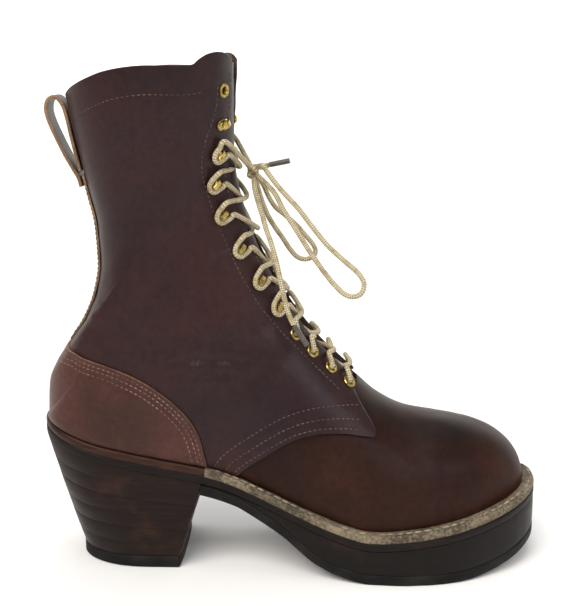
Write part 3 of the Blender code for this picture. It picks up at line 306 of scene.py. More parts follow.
@dataclass(frozen=True)
class Last:
    """The form that the boot is made over: its sole's lines and the sections of its upper."""

    length: float = 0.300
    ball_width: float = 0.104
    heel_stack: float = 0.088
    ball_stack: float = 0.030
    toe_rise: float = 0.018
    toe_spring: float = 0.014
    waist_thickness: float = 0.0165
    welt_thickness: float = 0.0045
    midsole_thickness: float = 0.0045
    outsole_thickness: float = 0.006
    shaft: float = 0.270
    back_height: float = 0.190
    heel_inset: float = 0.0035
    toe_inset: float = 0.0055
    gap: float = 0.0003
    seat: float = 0.0005
    heel_round: float = 0.14
    toe_round: float = 0.25
    heel_power: float = 2.1
    toe_power: float = 2.35
    ridge_share: float = 0.66
    heel_bottom_back: float = 0.021
    heel_bottom_breast: float = 0.085
    throat_first: int = 11
    throat_top_width: float = 0.036
    throat_bottom_width: float = 0.018

    @property
    def heel_middle(self) -> float:
        """The frame's origin, measured from the heel's back."""
        return (self.heel_bottom_back + self.heel_bottom_breast) / 2

    def place(self, points: object) -> np.ndarray:
        """Points measured from the heel's back, as points of the frame."""
        return np.asarray(points, float) - np.array([self.heel_middle, 0.0, 0.0])

    def level(self, table: list[Level], x: object) -> np.ndarray:
        """A table's share at x."""
        return smooth([row.along for row in table], [row.share for row in table], np.asarray(x) / self.length)

    def sole_top(self, x: object) -> np.ndarray:
        """The height of the welt's upper face."""
        drop = (self.heel_stack - self.ball_stack) * self.level(PITCH, x)
        return self.ball_stack + drop + self.toe_rise * self.level(RISE, x)

    def sole_under(self, x: object) -> np.ndarray:
        """The height of the outsole's lower face.

        Args:
            x: places from the heel's back.

        Returns:
            The height.
        """
        drop = (self.heel_stack - self.ball_stack) * self.level(PITCH, x)
        thick = self.waist_thickness
        stack = thick + (self.ball_stack - thick) * self.level(PLATFORM, x)
        return self.ball_stack + drop - stack + self.toe_spring * self.level(SPRING, x)

    def midsole_top(self, x: object) -> np.ndarray:
        """The height of the midsole's upper face."""
        return self.sole_top(x) - self.welt_thickness - self.gap

    def midsole_under(self, x: object) -> np.ndarray:
        """The height of the midsole's lower face."""
        return self.midsole_top(x) - self.midsole_thickness

    def outsole_top(self, x: object) -> np.ndarray:
        """The height of the outsole's upper face."""
        return np.minimum(self.sole_under(x) + self.outsole_thickness, self.midsole_under(x) - self.gap)

    def plan(self, x: object, heel_inset: float, toe_inset: float) -> tuple[np.ndarray, np.ndarray]:
        """The centre and the half width of the sole's outline at x, moved in by the insets.

        Args:
            x: places from the heel's back.
            heel_inset: how far the outline moves in at the heel.
            toe_inset: how far it moves in at the toe.

        Returns:
            The centre line's y and the half width.
        """
        x = np.asarray(x, float)
        knots = [row.along for row in SOLE_EDGE]
        centre = self.ball_width * smooth(knots, [row.centre for row in SOLE_EDGE], x / self.length)
        half = self.ball_width * smooth(knots, [row.half for row in SOLE_EDGE], x / self.length)
        half = half - heel_inset - (toe_inset - heel_inset) * x / self.length
        half = half * rounded((x - heel_inset) / (self.heel_round * self.length), self.heel_power)
        toe_share = (self.length - toe_inset - x) / (self.toe_round * self.length)
        return centre, half * rounded(toe_share, self.toe_power)

    def form(self, rows: object, across: object, out: float) -> np.ndarray:
        """Points of the upper's form, measured from the heel's back.

        Args:
            rows: places between the rows of the section table, 0 on the first.
            across: places round each section, from -1, the outer foot, by 0, the ridge, to 1.
            out: the distance outward from the form.

        Returns:
            An array of rows by places across by 3.
        """
        at = np.atleast_1d(np.asarray(rows, float))
        turn = np.atleast_1d(np.asarray(across, float))
        table = np.array(SECTIONS)
        columns = [smooth(range(len(SECTIONS)), table[:, i], at) for i in range(table.shape[1])]
        foot_share, rise, ridge_x, ridge_z, ridge_y, lateral, medial, widest, upper, lower = columns
        start, end = self.heel_inset - out, self.length - self.toe_inset + out
        foot_x = start + foot_share * (end - start)
        centre, foot_half = self.plan(foot_x, start, self.length - end)
        raised = rise > 1e-6
        foot_half = np.where(raised, 0, foot_half)
        seat_z = self.sole_top(self.heel_inset) + self.seat + rise * self.back_height
        foot_z = np.where(raised, seat_z, self.sole_top(foot_x) + self.seat)
        foot = np.stack([foot_x, centre, foot_z], axis=1)
        front_x, front_z = start + ridge_x * (end - start), self.ball_stack + ridge_z * self.shaft
        ridge = np.stack([front_x, ridge_y * self.ball_width, front_z], axis=1)
        axis = ridge - foot
        axis /= np.maximum(np.linalg.norm(axis, axis=1, keepdims=True), 1e-9)
        ridge = ridge + axis * out
        width = np.where(turn[None, :] < 0, lateral[:, None], medial[:, None]) * self.ball_width + out
        half = foot_half[:, None]
        width = np.maximum(width, half + self.gap)
        reach = np.abs(turn)[None, :]
        above = reach <= self.ridge_share
        high = (1 - np.minimum(reach / self.ridge_share, 1)) * np.pi / 2
        low = np.clip((reach - self.ridge_share) / (1 - self.ridge_share), 0, 1) * np.pi / 2
        wide, up, down = widest[:, None], 2 / upper[:, None], 2 / lower[:, None]
        along = np.where(above, wide + (1 - wide) * np.sin(high) ** up, wide * (1 - np.sin(low) ** down))
        cos_high, cos_low = np.maximum(np.cos(high), 0), np.maximum(np.cos(low), 0)
        side = np.where(above, width * cos_high**up, half + (width - half) * cos_low**down)
        points = foot[:, None, :] + (ridge - foot)[:, None, :] * along[:, :, None]
        points[:, :, 1] += np.sign(turn)[None, :] * side
        points[foot_share >= 1 - 1e-9] = foot[foot_share >= 1 - 1e-9][:, None, :]
        return points

    def throat_half(self, row: object) -> np.ndarray:
        """Half of the throat's width at a row.

        Args:
            row: a place between the rows of the section table.

        Returns:
            Half of the width.
        """
        heights = [section.ridge_z for section in SECTIONS]
        low = heights[self.throat_first]
        here = smooth(range(len(SECTIONS)), heights, row)
        share = np.clip((here - low) / (1 - low), 0, 1)
        return (self.throat_bottom_width + (self.throat_top_width - self.throat_bottom_width) * share) / 2

    def outline(self, table: list[Level], step: float = 0.002) -> np.ndarray:
        """An edge table as close places seen from the side, in the frame's x and z."""
        x = [row.along * self.length - self.heel_middle for row in table]
        z = [self.ball_stack + row.share * self.shaft for row in table]
        return spline(np.stack([x, z], axis=1), step)

    def turn_at(self, row: float, reach: float) -> float:
        """The place across a section that lies a distance to the side of the ridge, on the outer side.

        Args:
            row: a place between the rows of the section table.
            reach: the distance to the side of the ridge.

        Returns:
            The place across, below 0.
        """
        table = np.array(SECTIONS)
        lateral, upper = (float(smooth(range(len(table)), table[:, i], row)) for i in (5, 8))
        share = min(max(reach / (lateral * self.ball_width), 0.0), 1.0)
        return self.ridge_share * (1 - math.acos(share ** (upper / 2)) / (math.pi / 2))

    def facing_point(self, row: float, side: Side, reach: float) -> np.ndarray:
        """The form's point at a distance to the side of the ridge, measured from the heel's back."""
        return self.form(row, side.value * self.turn_at(row, reach), 0.0)[0, 0]

    def facing(self, height: float, side: Side, inward: float = 0.0) -> "Station":
        """The place beside the throat at a height, with its directions, in the frame.

        Args:
            height: a share of the shaft over the ball.
            side: which facing.
            inward: how much nearer to the throat than the fasteners.

        Returns:
            The station on the form.
        """
        goal = self.ball_stack + height * self.shaft
        low, high = float(self.throat_first) - 1, float(len(SECTIONS) - 1)
        for _ in range(22):
            row = (low + high) / 2
            reach = float(self.throat_half(row)) + FACING_MARGIN - inward
            if self.facing_point(row, side, reach)[2] < goal:
                low = row
            else:
                high = row
        place = self.facing_point(row, side, reach)
        step = LACE / 4
        away = unit(self.facing_point(row, side, reach + step) - self.facing_point(row, side, reach - step))
        above, below = min(row + 0.1, len(SECTIONS) - 1), max(row - 0.1, 0)
        up = unit(self.facing_point(above, side, reach) - self.facing_point(below, side, reach))
        outward = unit(np.cross(away, up) * side.value)
        outward = -outward if outward[0] < 0 else outward
        return Station(self.place(place), outward, away, unit(np.cross(outward, away)) * -side.value)

    def ridge(self, height: float) -> tuple[np.ndarray, np.ndarray]:
        """The ridge's place at a height, in the frame, with its outward direction.

        Args:
            height: a share of the shaft over the ball.

        Returns:
            The place and the direction.
        """
        knots = [section.ridge_z for section in SECTIONS[8:]]
        row = 8 + float(smooth(knots, range(len(knots)), height))
        place, ahead = self.form([row, min(row + 0.2, len(SECTIONS) - 1)], 0.0, 0.0)[:, 0]
        up = unit(ahead - place)
        return self.place(place), np.array([up[2], 0.0, -up[0]])

    def back_place(self, rise: float, out: float) -> tuple[float, float]:
        """x and z on the back line at a share of its height, measured from the heel's back.

        Args:
            rise: the share.
            out: the distance outward from the form.

        Returns:
            x and z.
        """
        back = [section for section in SECTIONS if section.rise > 0]
        foot = float(smooth([s.rise for s in back], [s.foot for s in back], rise))
        start, end = self.heel_inset - out, self.length - self.toe_inset + out
        low = float(self.sole_top(self.heel_inset)) + self.seat
        return start + foot * (end - start), low + rise * self.back_height

    def back_point(self, rise: float, side: float, out: float) -> np.ndarray:
        """The form's point near the back line that lies a distance to the side of it.

        Args:
            rise: a share of the back line's height.
            side: the distance to the side of the back line.
            out: the distance outward from the form.

        Returns:
            The point.
        """
        knots = [i for i, section in enumerate(SECTIONS) if section.rise > 0]
        row = float(smooth([SECTIONS[i].rise for i in knots], knots, rise))
        turns = np.linspace(1.0, self.ridge_share, 60)
        points = self.form(row, turns, out)[0]
        made = np.array([np.interp(abs(side), points[:, 1], points[:, i]) for i in range(3)])
        made[1] = side
        return made


LAST = Last()

CAMERA_PLACE = (0.1146, -0.6200, 0.3000)
CAMERA_YAW = 1.7
CAMERA_PITCH = 11.0
LENS = 63.0
SENSOR = 36.0
SHIFT_Y = -0.062

LACE = 0.0030
AGLET = 0.0032
QUARTER_WALL = 0.0015
LINED_WALL = 0.0017
TONGUE_WALL = 0.0020
TONGUE_CLEARANCE = 0.0009
TONGUE_COVER = 0.011
FACING_MARGIN = 0.0078
STRAP_WIDTH = 0.018
STRAP_TOP = 0.768

# The lace's free routes in metres from the heel's back, the same as their solids
KNOT_CENTRE = (0.1276, -0.0010, 0.2360)
KNOT_RADII = (0.0036, 0.0062, 0.0050)
KNOT_CLEARANCE = 0.0006
BOW_LOOP_OUTER = [
    (0.1335, -0.0100, 0.2400), (0.1380, -0.0130, 0.2345), (0.1445, -0.0150, 0.2265),
    (0.1545, -0.0172, 0.2160), (0.1625, -0.0200, 0.2060), (0.1710, -0.0228, 0.1960),
    (0.1805, -0.0256, 0.1875), (0.1880, -0.0284, 0.1815), (0.1920, -0.0312, 0.1758),
    (0.1908, -0.0328, 0.1702), (0.1862, -0.0324, 0.1678), (0.1812, -0.0302, 0.1688),
    (0.1762, -0.0275, 0.1728), (0.1702, -0.0248, 0.1795), (0.1620, -0.0215, 0.1905),
    (0.1535, -0.0180, 0.2035), (0.1460, -0.0145, 0.2145), (0.1402, -0.0108, 0.2246),
]
BOW_LOOP_INNER = [
    (0.1330, 0.0075, 0.2270), (0.1362, 0.0092, 0.2195), (0.1402, 0.0105, 0.2130),
    (0.1462, 0.0117, 0.2078), (0.1525, 0.0128, 0.2020), (0.1585, 0.0138, 0.1950),
    (0.1632, 0.0144, 0.1890), (0.1640, 0.0142, 0.1838), (0.1592, 0.0136, 0.1808),
    (0.1535, 0.0126, 0.1822), (0.1488, 0.0112, 0.1875), (0.1445, 0.0096, 0.1945),
    (0.1405, 0.0078, 0.2005), (0.1365, 0.0056, 0.2075), (0.1335, 0.0030, 0.2150),
    (0.1312, 0.0012, 0.2225),
]
LACE_END_LONG = [
    (0.1292, -0.0094, 0.2258), (0.1314, -0.0130, 0.2185), (0.1340, -0.0158, 0.2110),
    (0.1362, -0.0192, 0.2040), (0.1388, -0.0222, 0.1975), (0.1418, -0.0255, 0.1880),
    (0.1444, -0.0282, 0.1775), (0.1464, -0.0304, 0.1680), (0.1488, -0.0320, 0.1590),
    (0.1522, -0.0330, 0.1515),
]
LACE_TIP_LONG = [(0.1526, -0.0331, 0.1508), (0.1600, -0.0346, 0.1395)]
LACE_END_SHORT = [(0.1345, -0.0014, 0.2388), (0.1368, -0.0019, 0.2394)]
LACE_TIP_SHORT = [(0.1374, -0.0020, 0.2396), (0.1492, -0.0040, 0.2422)]

# The pull loop's middle line: shares of the back's height, and of the loop's reach outward
PULL_LOOP = [
    (0.783, 0.10), (0.880, 0.10), (0.955, 0.12), (0.990, 0.22), (1.008, 0.48), (0.998, 0.78),
    (0.968, 0.94), (0.930, 0.90), (0.880, 0.74), (0.830, 0.56), (0.790, 0.38), (0.762, 0.255),
    (0.735, 0.245),
]
PULL_LOOP_REACH = 0.0135
PULL_LOOP_WIDTH = 0.016
PULL_LOOP_WALL = 0.002

# Soft troughs of the worn boot, seen from the side in mm from the heel's back, both sides where side is 0
CREASES = [
    Crease(((70, 126.5), (88, 129), (104, 130), (129, 129)), 1.20, 2.3, -1),
    Crease(((78, 119.5), (95, 122), (108, 122.6), (122, 121.5)), 1.00, 2.1, -1),
    Crease(((74, 127), (96, 130), (122, 129)), 1.00, 2.3, 1),
    Crease(((82, 120), (98, 122), (114, 121.5)), 0.80, 2.1, 1),
    Crease(((142, 152), (124, 143), (104, 138)), 0.75, 5.0, 0),
    Crease(((154, 132), (134, 120), (114, 112)), 0.60, 5.5, 0),
    Crease(((118, 196), (106, 192), (94, 193)), 0.40, 2.2, -1),
    Crease(((112, 214), (100, 209), (86, 208)), 0.50, 4.5, 0),
    Crease(((24, 150), (38, 146), (56, 147)), 0.80, 4.5, 0),
    Crease(((20, 168), (40, 163), (58, 165)), 0.50, 5.0, 0),
    Crease(((206, 86), (214, 66), (212, 46)), 0.20, 3.6, 0),
    Crease(((221, 80), (231, 62), (229, 44)), 0.22, 3.4, 0),
]


def unit(vectors: np.ndarray) -> np.ndarray:
    """Vectors made one long, and left as they are where they are nothing."""
    size = np.linalg.norm(vectors, axis=-1, keepdims=True)
    return vectors / np.where(size < 1e-12, 1, size)


def grid_normals(grid: np.ndarray) -> np.ndarray:
    """The outward normals of a grid of the form, whose columns go from the outer to the inner foot.

    Args:
        grid: points, rows by columns by 3.

    Returns:
        The normals, as long as 1.
    """
    normals = unit(np.cross(np.gradient(grid, axis=1), np.gradient(grid, axis=0)))
    joined = np.linalg.norm(grid[:, 0] - grid[:, -1], axis=1) < 1e-6
    shared = unit(normals[:, 0] + normals[:, -1])
    normals[joined, 0] = shared[joined]
    normals[joined, -1] = shared[joined]
    return normals


def offset_line(line: np.ndarray, distance: float) -> np.ndarray:
    """A line seen from the side, moved to its left by a distance."""
    ahead = unit(np.gradient(line, axis=0))
    return line + np.stack([-ahead[:, 1], ahead[:, 0]], axis=1) * distance


def line_distance(points: np.ndarray, line: np.ndarray) -> tuple[np.ndarray, np.ndarray]:
    """How far flat points are from a polyline, and how far along it the nearest place is.

    Args:
        points: an array of points by 2.
        line: the polyline's places by 2.

    Returns:
        The distances, and the shares of the way from the line's start to its end.
    """
    best = np.full(len(points), np.inf)
    share = np.zeros(len(points))
    lengths = np.concatenate([[0], np.cumsum(np.linalg.norm(np.diff(line, axis=0), axis=1))])
    for i in range(len(line) - 1):
        a, b = line[i], line[i + 1]
        t = np.clip((points - a) @ (b - a) / max((b - a) @ (b - a), 1e-12), 0, 1)
        gap = np.linalg.norm(points - (a + t[:, None] * (b - a)), axis=1)
        nearer = gap < best
        best = np.where(nearer, gap, best)
        share = np.where(nearer, (lengths[i] + t * (lengths[i + 1] - lengths[i])) / lengths[-1], share)
    return best, share


def sample_noise(points: np.ndarray, size: float, seed: float = 0.0) -> np.ndarray:
    """Smooth noise from -1 to 1 at points in space, whose lumps are about size across.

    Args:
        points: places of the frame, in metres.
        size: how wide its patches are.
        seed: what shifts the pattern.

    Returns:
        The noise at each point.
    """
    flat = points.reshape(-1, 3) / size + seed
    values = np.fromiter((noise.noise(Vector(p)) for p in flat), float, len(flat))
    return values.reshape(points.shape[:-1])


@dataclass(frozen=True)
class Relief:
    """The height of the leather's creases, seam grooves and soft waves over its form."""

    creases: Sequence[Crease]
    grooves: Sequence[np.ndarray] = ()
    groove_depth: float = 0.00030
    groove_width: float = 0.0011
    wave: float = 0.00040
    wave_size: float = 0.026

    def height(self, points: np.ndarray) -> np.ndarray:
        """The height at points of the form, in metres, below 0 in a trough.

        Args:
            points: points of the form.

        Returns:
            A height for each point.
        """
        flat = points.reshape(-1, 3)
        seen = np.stack([flat[:, 0] + LAST.heel_middle, flat[:, 2]], axis=1)
        total = self.wave * sample_noise(flat, self.wave_size, 3.7)
        total = total + 0.4 * self.wave * sample_noise(flat, 0.4 * self.wave_size, 9.1)
        for crease in self.creases:
            line = spline(np.array(crease.path) * MM, 0.0008)
            gap, share = line_distance(seen, line)
            wide = crease.width * MM
            fade = np.clip(1 - np.abs(2 * share - 1) ** 3, 0, 1)
            wobble = 1 + 0.35 * np.sin(share * 23 + crease.depth * 40)
            trough = np.exp(-((gap / wide) ** 2)) - 0.25 * np.exp(-(((gap - 2.0 * wide) / (1.2 * wide)) ** 2))
            chosen = np.ones(len(flat)) if crease.side == 0 else (flat[:, 1] * crease.side > 0)
            total = total - crease.depth * MM * fade * wobble * trough * chosen
        for line in self.grooves:
            gap, _ = line_distance(np.stack([flat[:, 0], flat[:, 2]], axis=1), line)
            total = total - self.groove_depth * np.exp(-((gap / self.groove_width) ** 2))
        return total.reshape(points.shape[:-1])


def add_object(name: str, mesh: bpy.types.Mesh) -> bpy.types.Object:
    """Links a mesh to the scene as an object at the origin.

    Args:
        name: the piece's name.
        mesh: its mesh.

    Returns:
        The object.
    """
    obj = bpy.data.objects.new(name, mesh)
    bpy.context.scene.collection.objects.link(obj)
    return obj


def closed_mesh(name: str, points: np.ndarray, faces: list[tuple], slots: Sequence[int]) -> bpy.types.Mesh:
    """A mesh with doubled points merged and its faces turned outward.

    Args:
        name: the mesh's name.
        points: an array of points by 3.
        faces: the faces' point numbers.
        slots: the material slot of each face.

    Returns:
        The smooth-shaded mesh, sharp where it turns by more than 38 degrees.
    """
    mesh = bpy.data.meshes.new(name)
    mesh.from_pydata([tuple(p) for p in points], [], faces)
    for _ in Skin:
        mesh.materials.append(None)
    mesh.polygons.foreach_set("material_index", list(slots))
    work = bmesh.new()
    work.from_mesh(mesh)
    bmesh.ops.remove_doubles(work, verts=work.verts, dist=1e-6)
    bmesh.ops.dissolve_degenerate(work, edges=work.edges, dist=1e-6)
    bmesh.ops.recalc_face_normals(work, faces=work.faces)
    work.to_mesh(mesh)
    work.free()
    return shaded(mesh)


def shaded(mesh: bpy.types.Mesh) -> bpy.types.Mesh:
    """Shades a mesh smooth, apart from its sharp edges.

    Args:
        mesh: the mesh.

    Returns:
        The same mesh.
    """
    mesh.shade_smooth()
    mesh.set_sharp_from_angle(angle=math.radians(38))
    return mesh


def grid_wall(name: str, far: np.ndarray, near: np.ndarray) -> bpy.types.Object:
    """A leather wall between two grids of points, closed along its borders.

    Args:
        name: the piece's name.
        far: the grain face's points, rows by columns by 3.
        near: the flesh side's points in the same order.

    Returns:
        The object, with its faces on the slots of Skin.
    """
    rows, columns = far.shape[:2]
    points = np.concatenate([far.reshape(-1, 3), near.reshape(-1, 3)])
    inward = rows * columns
    faces: list[tuple] = []
    slots: list[int] = []
    for r in range(rows - 1):
        for c in range(columns - 1):
            low = r * columns + c
            quad = (low, low + 1, low + columns + 1, low + columns)
            faces += [quad, tuple(i + inward for i in reversed(quad))]
            slots += [Skin.GRAIN.value, Skin.FLESH.value]
    apart = np.linalg.norm(far[:, 0] - far[:, -1], axis=1) > 1e-6
    rims = []
    for r in range(rows - 1):
        if apart[r] or apart[r + 1]:
            rims.append((r * columns, (r + 1) * columns))
            rims.append(((r + 2) * columns - 1, (r + 1) * columns - 1))
    last = (rows - 1) * columns
    rims += [(c + 1, c) for c in range(columns - 1)]
    rims += [(last + c, last + c + 1) for c in range(columns - 1)]
    faces += [(a, b, b + inward, a + inward) for a, b in rims]
    slots += [Skin.EDGE.value] * len(rims)
    return add_object(name, closed_mesh(name, points, faces, slots))


def ring_faces(rings: int, each: int, closed: bool = False) -> list[tuple]:
    """The faces between rings of points.

    Args:
        rings: how many rings there are.
        each: the points of a ring.
        closed: True where the last ring joins the first, and False for a flat face over each end.

    Returns:
        The faces' point numbers, those over the ends first.
    """
    faces: list[tuple] = []
    if not closed:
        faces += [tuple(reversed(range(each))), tuple((rings - 1) * each + i for i in range(each))]
    for r in range(rings if closed else rings - 1):
        low, high = r * each, (r + 1) % rings * each
        for i in range(each):
            j = (i + 1) % each
            faces.append((low + i, low + j, high + j, high + i))
    return faces


def ring_solid(
    name: str, rings: np.ndarray, slots: Callable[[int, int], int] | None = None
) -> bpy.types.Object:
    """A solid through rings of as many points each, with flat ends.

    Args:
        name: the piece's name.
        rings: the rings' points, rings by points by 3.
        slots: the material slot from a ring's number and a side's number, 0 without it.

    Returns:
        The object.
    """
    count, each = rings.shape[:2]
    chosen = [slots(-1, 0) if slots else 0] * 2
    chosen += [slots(r, i) if slots else 0 for r in range(count - 1) for i in range(each)]
    return add_object(name, closed_mesh(name, rings.reshape(-1, 3), ring_faces(count, each), chosen))


def joined(name: str, pieces: Sequence[bpy.types.Object]) -> bpy.types.Object:
    """Several pieces made one object, with the slots of Skin.

    Args:
        name: the piece's name.
        pieces: what is read or joined.

    Returns:
        The object.
    """
    work = bmesh.new()
    for piece in pieces:
        work.from_mesh(piece.data)
    mesh = bpy.data.meshes.new(name)
    for _ in Skin:
        mesh.materials.append(None)
    work.to_mesh(mesh)
    work.free()
    discard(*pieces)
    return add_object(name, shaded(mesh))


def side_prism(name: str, outline: Sequence[Sequence[float]], half_depth: float = 0.12) -> bpy.types.Object:
    """A cutter through the whole boot with an outline seen from the side, in the frame's x and z.

    Args:
        name: the piece's name.
        outline: its x and z.
        half_depth: how far it reaches to each side.

    Returns:
        The cutter.
    """
    flat = np.asarray(outline, float)
    rings = np.stack([np.insert(flat, 1, y, axis=1) for y in (-half_depth, half_depth)])
    return ring_solid(name, rings, lambda ring, side: Skin.EDGE.value)


def cut(obj: bpy.types.Object, cutter: bpy.types.Object, operation: str = "DIFFERENCE") -> None:
    """Adds a cut whose new faces keep the cutter's material slot.

    Args:
        obj: the piece.
        cutter: what cuts it.
        operation: DIFFERENCE, or INTERSECT to keep what lies inside the cutter.
    """
    modifier = obj.modifiers.new(cutter.name, "BOOLEAN")
    modifier.operation = operation
    modifier.object = cutter
    modifier.solver = "MANIFOLD"
    modifier.material_mode = "INDEX"


def settle(obj: bpy.types.Object) -> None:
    """Turns an object with its modifiers into a plain mesh.

    Args:
        obj: the piece.
    """
    graph = bpy.context.evaluated_depsgraph_get()
    made = bpy.data.meshes.new_from_object(obj.evaluated_get(graph), depsgraph=graph)
    obj.modifiers.clear()
    old, name = obj.data, obj.data.name
    obj.data = made
    bpy.data.meshes.remove(old)
    made.name = name


def discard(*objects: bpy.types.Object) -> None:
    """Removes helpers and their meshes.

    Args:
        objects: what is no longer used.
    """
    for obj in objects:
        data = obj.data
        bpy.data.objects.remove(obj)
        bpy.data.meshes.remove(data)


def dress(
    obj: bpy.types.Object, materials: Sequence[bpy.types.Material], slot: str, *nodes: str
) -> bpy.types.Object:
    """Gives a finished piece its materials and its body, and hides the solids that it stands for.

    Args:
        obj: the piece.
        materials: its materials in the order of its slots.
        slot: the record's material slot; not used.
        nodes: the solids that it stands for.

    Returns:
        The piece.
    """
    slots = obj.data.materials
    for i, material in enumerate(materials):
        if i < len(slots):
            slots[i] = material
        else:
            slots.append(material)
    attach(obj, BODY)
    if nodes:
        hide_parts(*nodes)
    LOG.info("%s: %d faces", obj.name, len(obj.data.polygons))
    return obj


def between(low: float, high: float, to_low: float, to_high: float) -> dict[str, float]:
    """The settings that carry one range of values over to another."""
    return {"From Min": low, "From Max": high, "To Min": to_low, "To Max": to_high}


def output_of(source: bpy.types.Node | bpy.types.NodeSocket) -> bpy.types.NodeSocket:
    """A socket as it is, or a node's first output in use.

    Args:
        source: a node, or one of its outputs.

    Returns:
        The output socket.
    """
    if isinstance(source, bpy.types.NodeSocket):
        return source
    return next(socket for socket in source.outputs if socket.enabled)


def add_node(
    tree: bpy.types.NodeTree, kind: str, settings: dict | None = None, links: dict | None = None
) -> bpy.types.Node:
    """Adds one node to a tree.

    Args:
        tree: the tree that it goes in.
        kind: the node's type.
        settings: values by the name of an attribute or, where there is none, of an input.
        links: output sockets, or nodes, by the name or the number of the input that they go to.

    Returns:
        The node.
    """
    node = tree.nodes.new(kind)
    settings = settings or {}
    names = {key: value for key, value in settings.items() if not isinstance(key, int) and hasattr(node, key)}
    for key, value in names.items():
        setattr(node, key, value)
    for key, value in settings.items():
        if key not in names:
            node.inputs[key].default_value = value
    for key, source in (links or {}).items():
        tree.links.new(output_of(source), node.inputs[key])
    return node


def bare_material(name: str) -> tuple[bpy.types.Material, bpy.types.NodeTree, bpy.types.Node]:
    """Starts a material.

    Args:
        name: the real material's name.

    Returns:
        The material, its tree, and its Principled shader, already linked to the output.
    """
    material = bpy.data.materials.new(name)
    material.use_nodes = True
    return material, material.node_tree, material.node_tree.nodes["Principled BSDF"]


def finish_shader(
    tree: bpy.types.NodeTree, shader: bpy.types.Node, constants: dict[str, float], **links: bpy.types.Node
) -> None:
    """Sets a shader's constants and links nodes to its inputs.

    Args:
        tree: the material's tree.
        shader: its Principled shader.
        constants: values by the input's name.
        **links: nodes by the input's name, an underscore standing for a space.
    """
    for name, value in constants.items():
        shader.inputs[name].default_value = value
    for name, node in links.items():
        tree.links.new(output_of(node), shader.inputs[name.replace("_", " ")])


@dataclass(frozen=True)
class GrainLeather:
    """Full-grain oiled leather: a dyed, waxed face with fine pores, soft sheen, partly painted into its
    colour, and worn, redder places.
    """

    name: str
    deep: str
    body: str
    worn: str
    painted_sheen: str
    roughness: float = 0.36
    grain_mm: float = 0.9
    grain_height: float = 0.00007
    specular: float = 0.22

    def make(self) -> bpy.types.Material:
        """Builds the material.

        Returns:
            The material.
        """
        material, tree, shader = bare_material(self.name)
        place = add_node(tree, "ShaderNodeTexCoord").outputs["Object"]
        at = {"Vector": place}
        broad = add_node(tree, "ShaderNodeTexNoise", {"Scale": 14.0, "Detail": 4.0, "Roughness": 0.55}, at)
        # Dye takes unevenly over 2 to 4 mm, which gives the face its depth
        mottle = add_node(tree, "ShaderNodeTexNoise", {"Scale": 310.0, "Detail": 3.0, "Roughness": 0.6}, at)
        ramp = add_node(tree, "ShaderNodeValToRGB", {}, {"Fac": broad})
        dyes = ramp.color_ramp.elements
        dyes[0].position, dyes[0].color = 0.33, linear(self.deep)
        dyes[1].position, dyes[1].color = 0.68, linear(self.worn)
        dyes.new(0.50).color = linear(self.body)
        # Painted sheen: broad grey-violet patches mixed into the dye colour stand in for the light's sheen on
        # the waxed face
        painted_sheen_zone = add_node(tree, "ShaderNodeTexNoise", {"Scale": 9.0, "Detail": 2.0, "Distortion": 0.6}, at)
        share = add_node(tree, "ShaderNodeMapRange", between(0.50, 0.72, 0.0, 0.55), {"Value": painted_sheen_zone})
        mix = {"data_type": "RGBA", 7: linear(self.painted_sheen)}
        sheen_tinted = add_node(tree, "ShaderNodeMix", mix, {0: share, 6: ramp})
        speck = add_node(tree, "ShaderNodeMapRange", between(0.35, 0.65, 0.80, 1.14), {"Value": mottle})
        # Open pores and pin pricks, about one every 6 mm
        pores = add_node(tree, "ShaderNodeTexVoronoi", {"Scale": 165.0, "Randomness": 1.0}, at)
        pore = add_node(tree, "ShaderNodeMapRange", between(0.020, 0.075, 0.45, 1.0), {"Value": pores})
        both = add_node(tree, "ShaderNodeMath", {"operation": "MULTIPLY"}, {0: speck, 1: pore})
        shade = add_node(tree, "ShaderNodeVectorMath", {"operation": "SCALE"}, {0: sheen_tinted, "Scale": both})
        cell = {"feature": "SMOOTH_F1", "Scale": 1000.0 / self.grain_mm, "Smoothness": 0.35}
        cells = add_node(tree, "ShaderNodeTexVoronoi", cell, at)
        fine = add_node(tree, "ShaderNodeTexNoise", {"Scale": 620.0, "Detail": 4.0, "Roughness": 0.6}, at)
        grain = add_node(tree, "ShaderNodeMath", {"operation": "MULTIPLY_ADD", 1: 0.7}, {0: cells, 2: fine})
        low = {"Strength": 0.30, "Distance": self.grain_height}
        skin = add_node(tree, "ShaderNodeBump", low, {"Height": grain})
        deep = {"Strength": 0.55, "Distance": 0.00030}
        dents = add_node(tree, "ShaderNodeBump", deep, {"Height": pore, "Normal": skin})
        sheen = between(0.3, 0.7, self.roughness - 0.06, self.roughness + 0.12)
        gloss = add_node(tree, "ShaderNodeMapRange", sheen, {"Value": broad})
        constants = {"IOR": 1.48, "Specular IOR Level": self.specular}
        finish_shader(tree, shader, constants, Base_Color=shade, Roughness=gloss, Normal=dents)
        return material


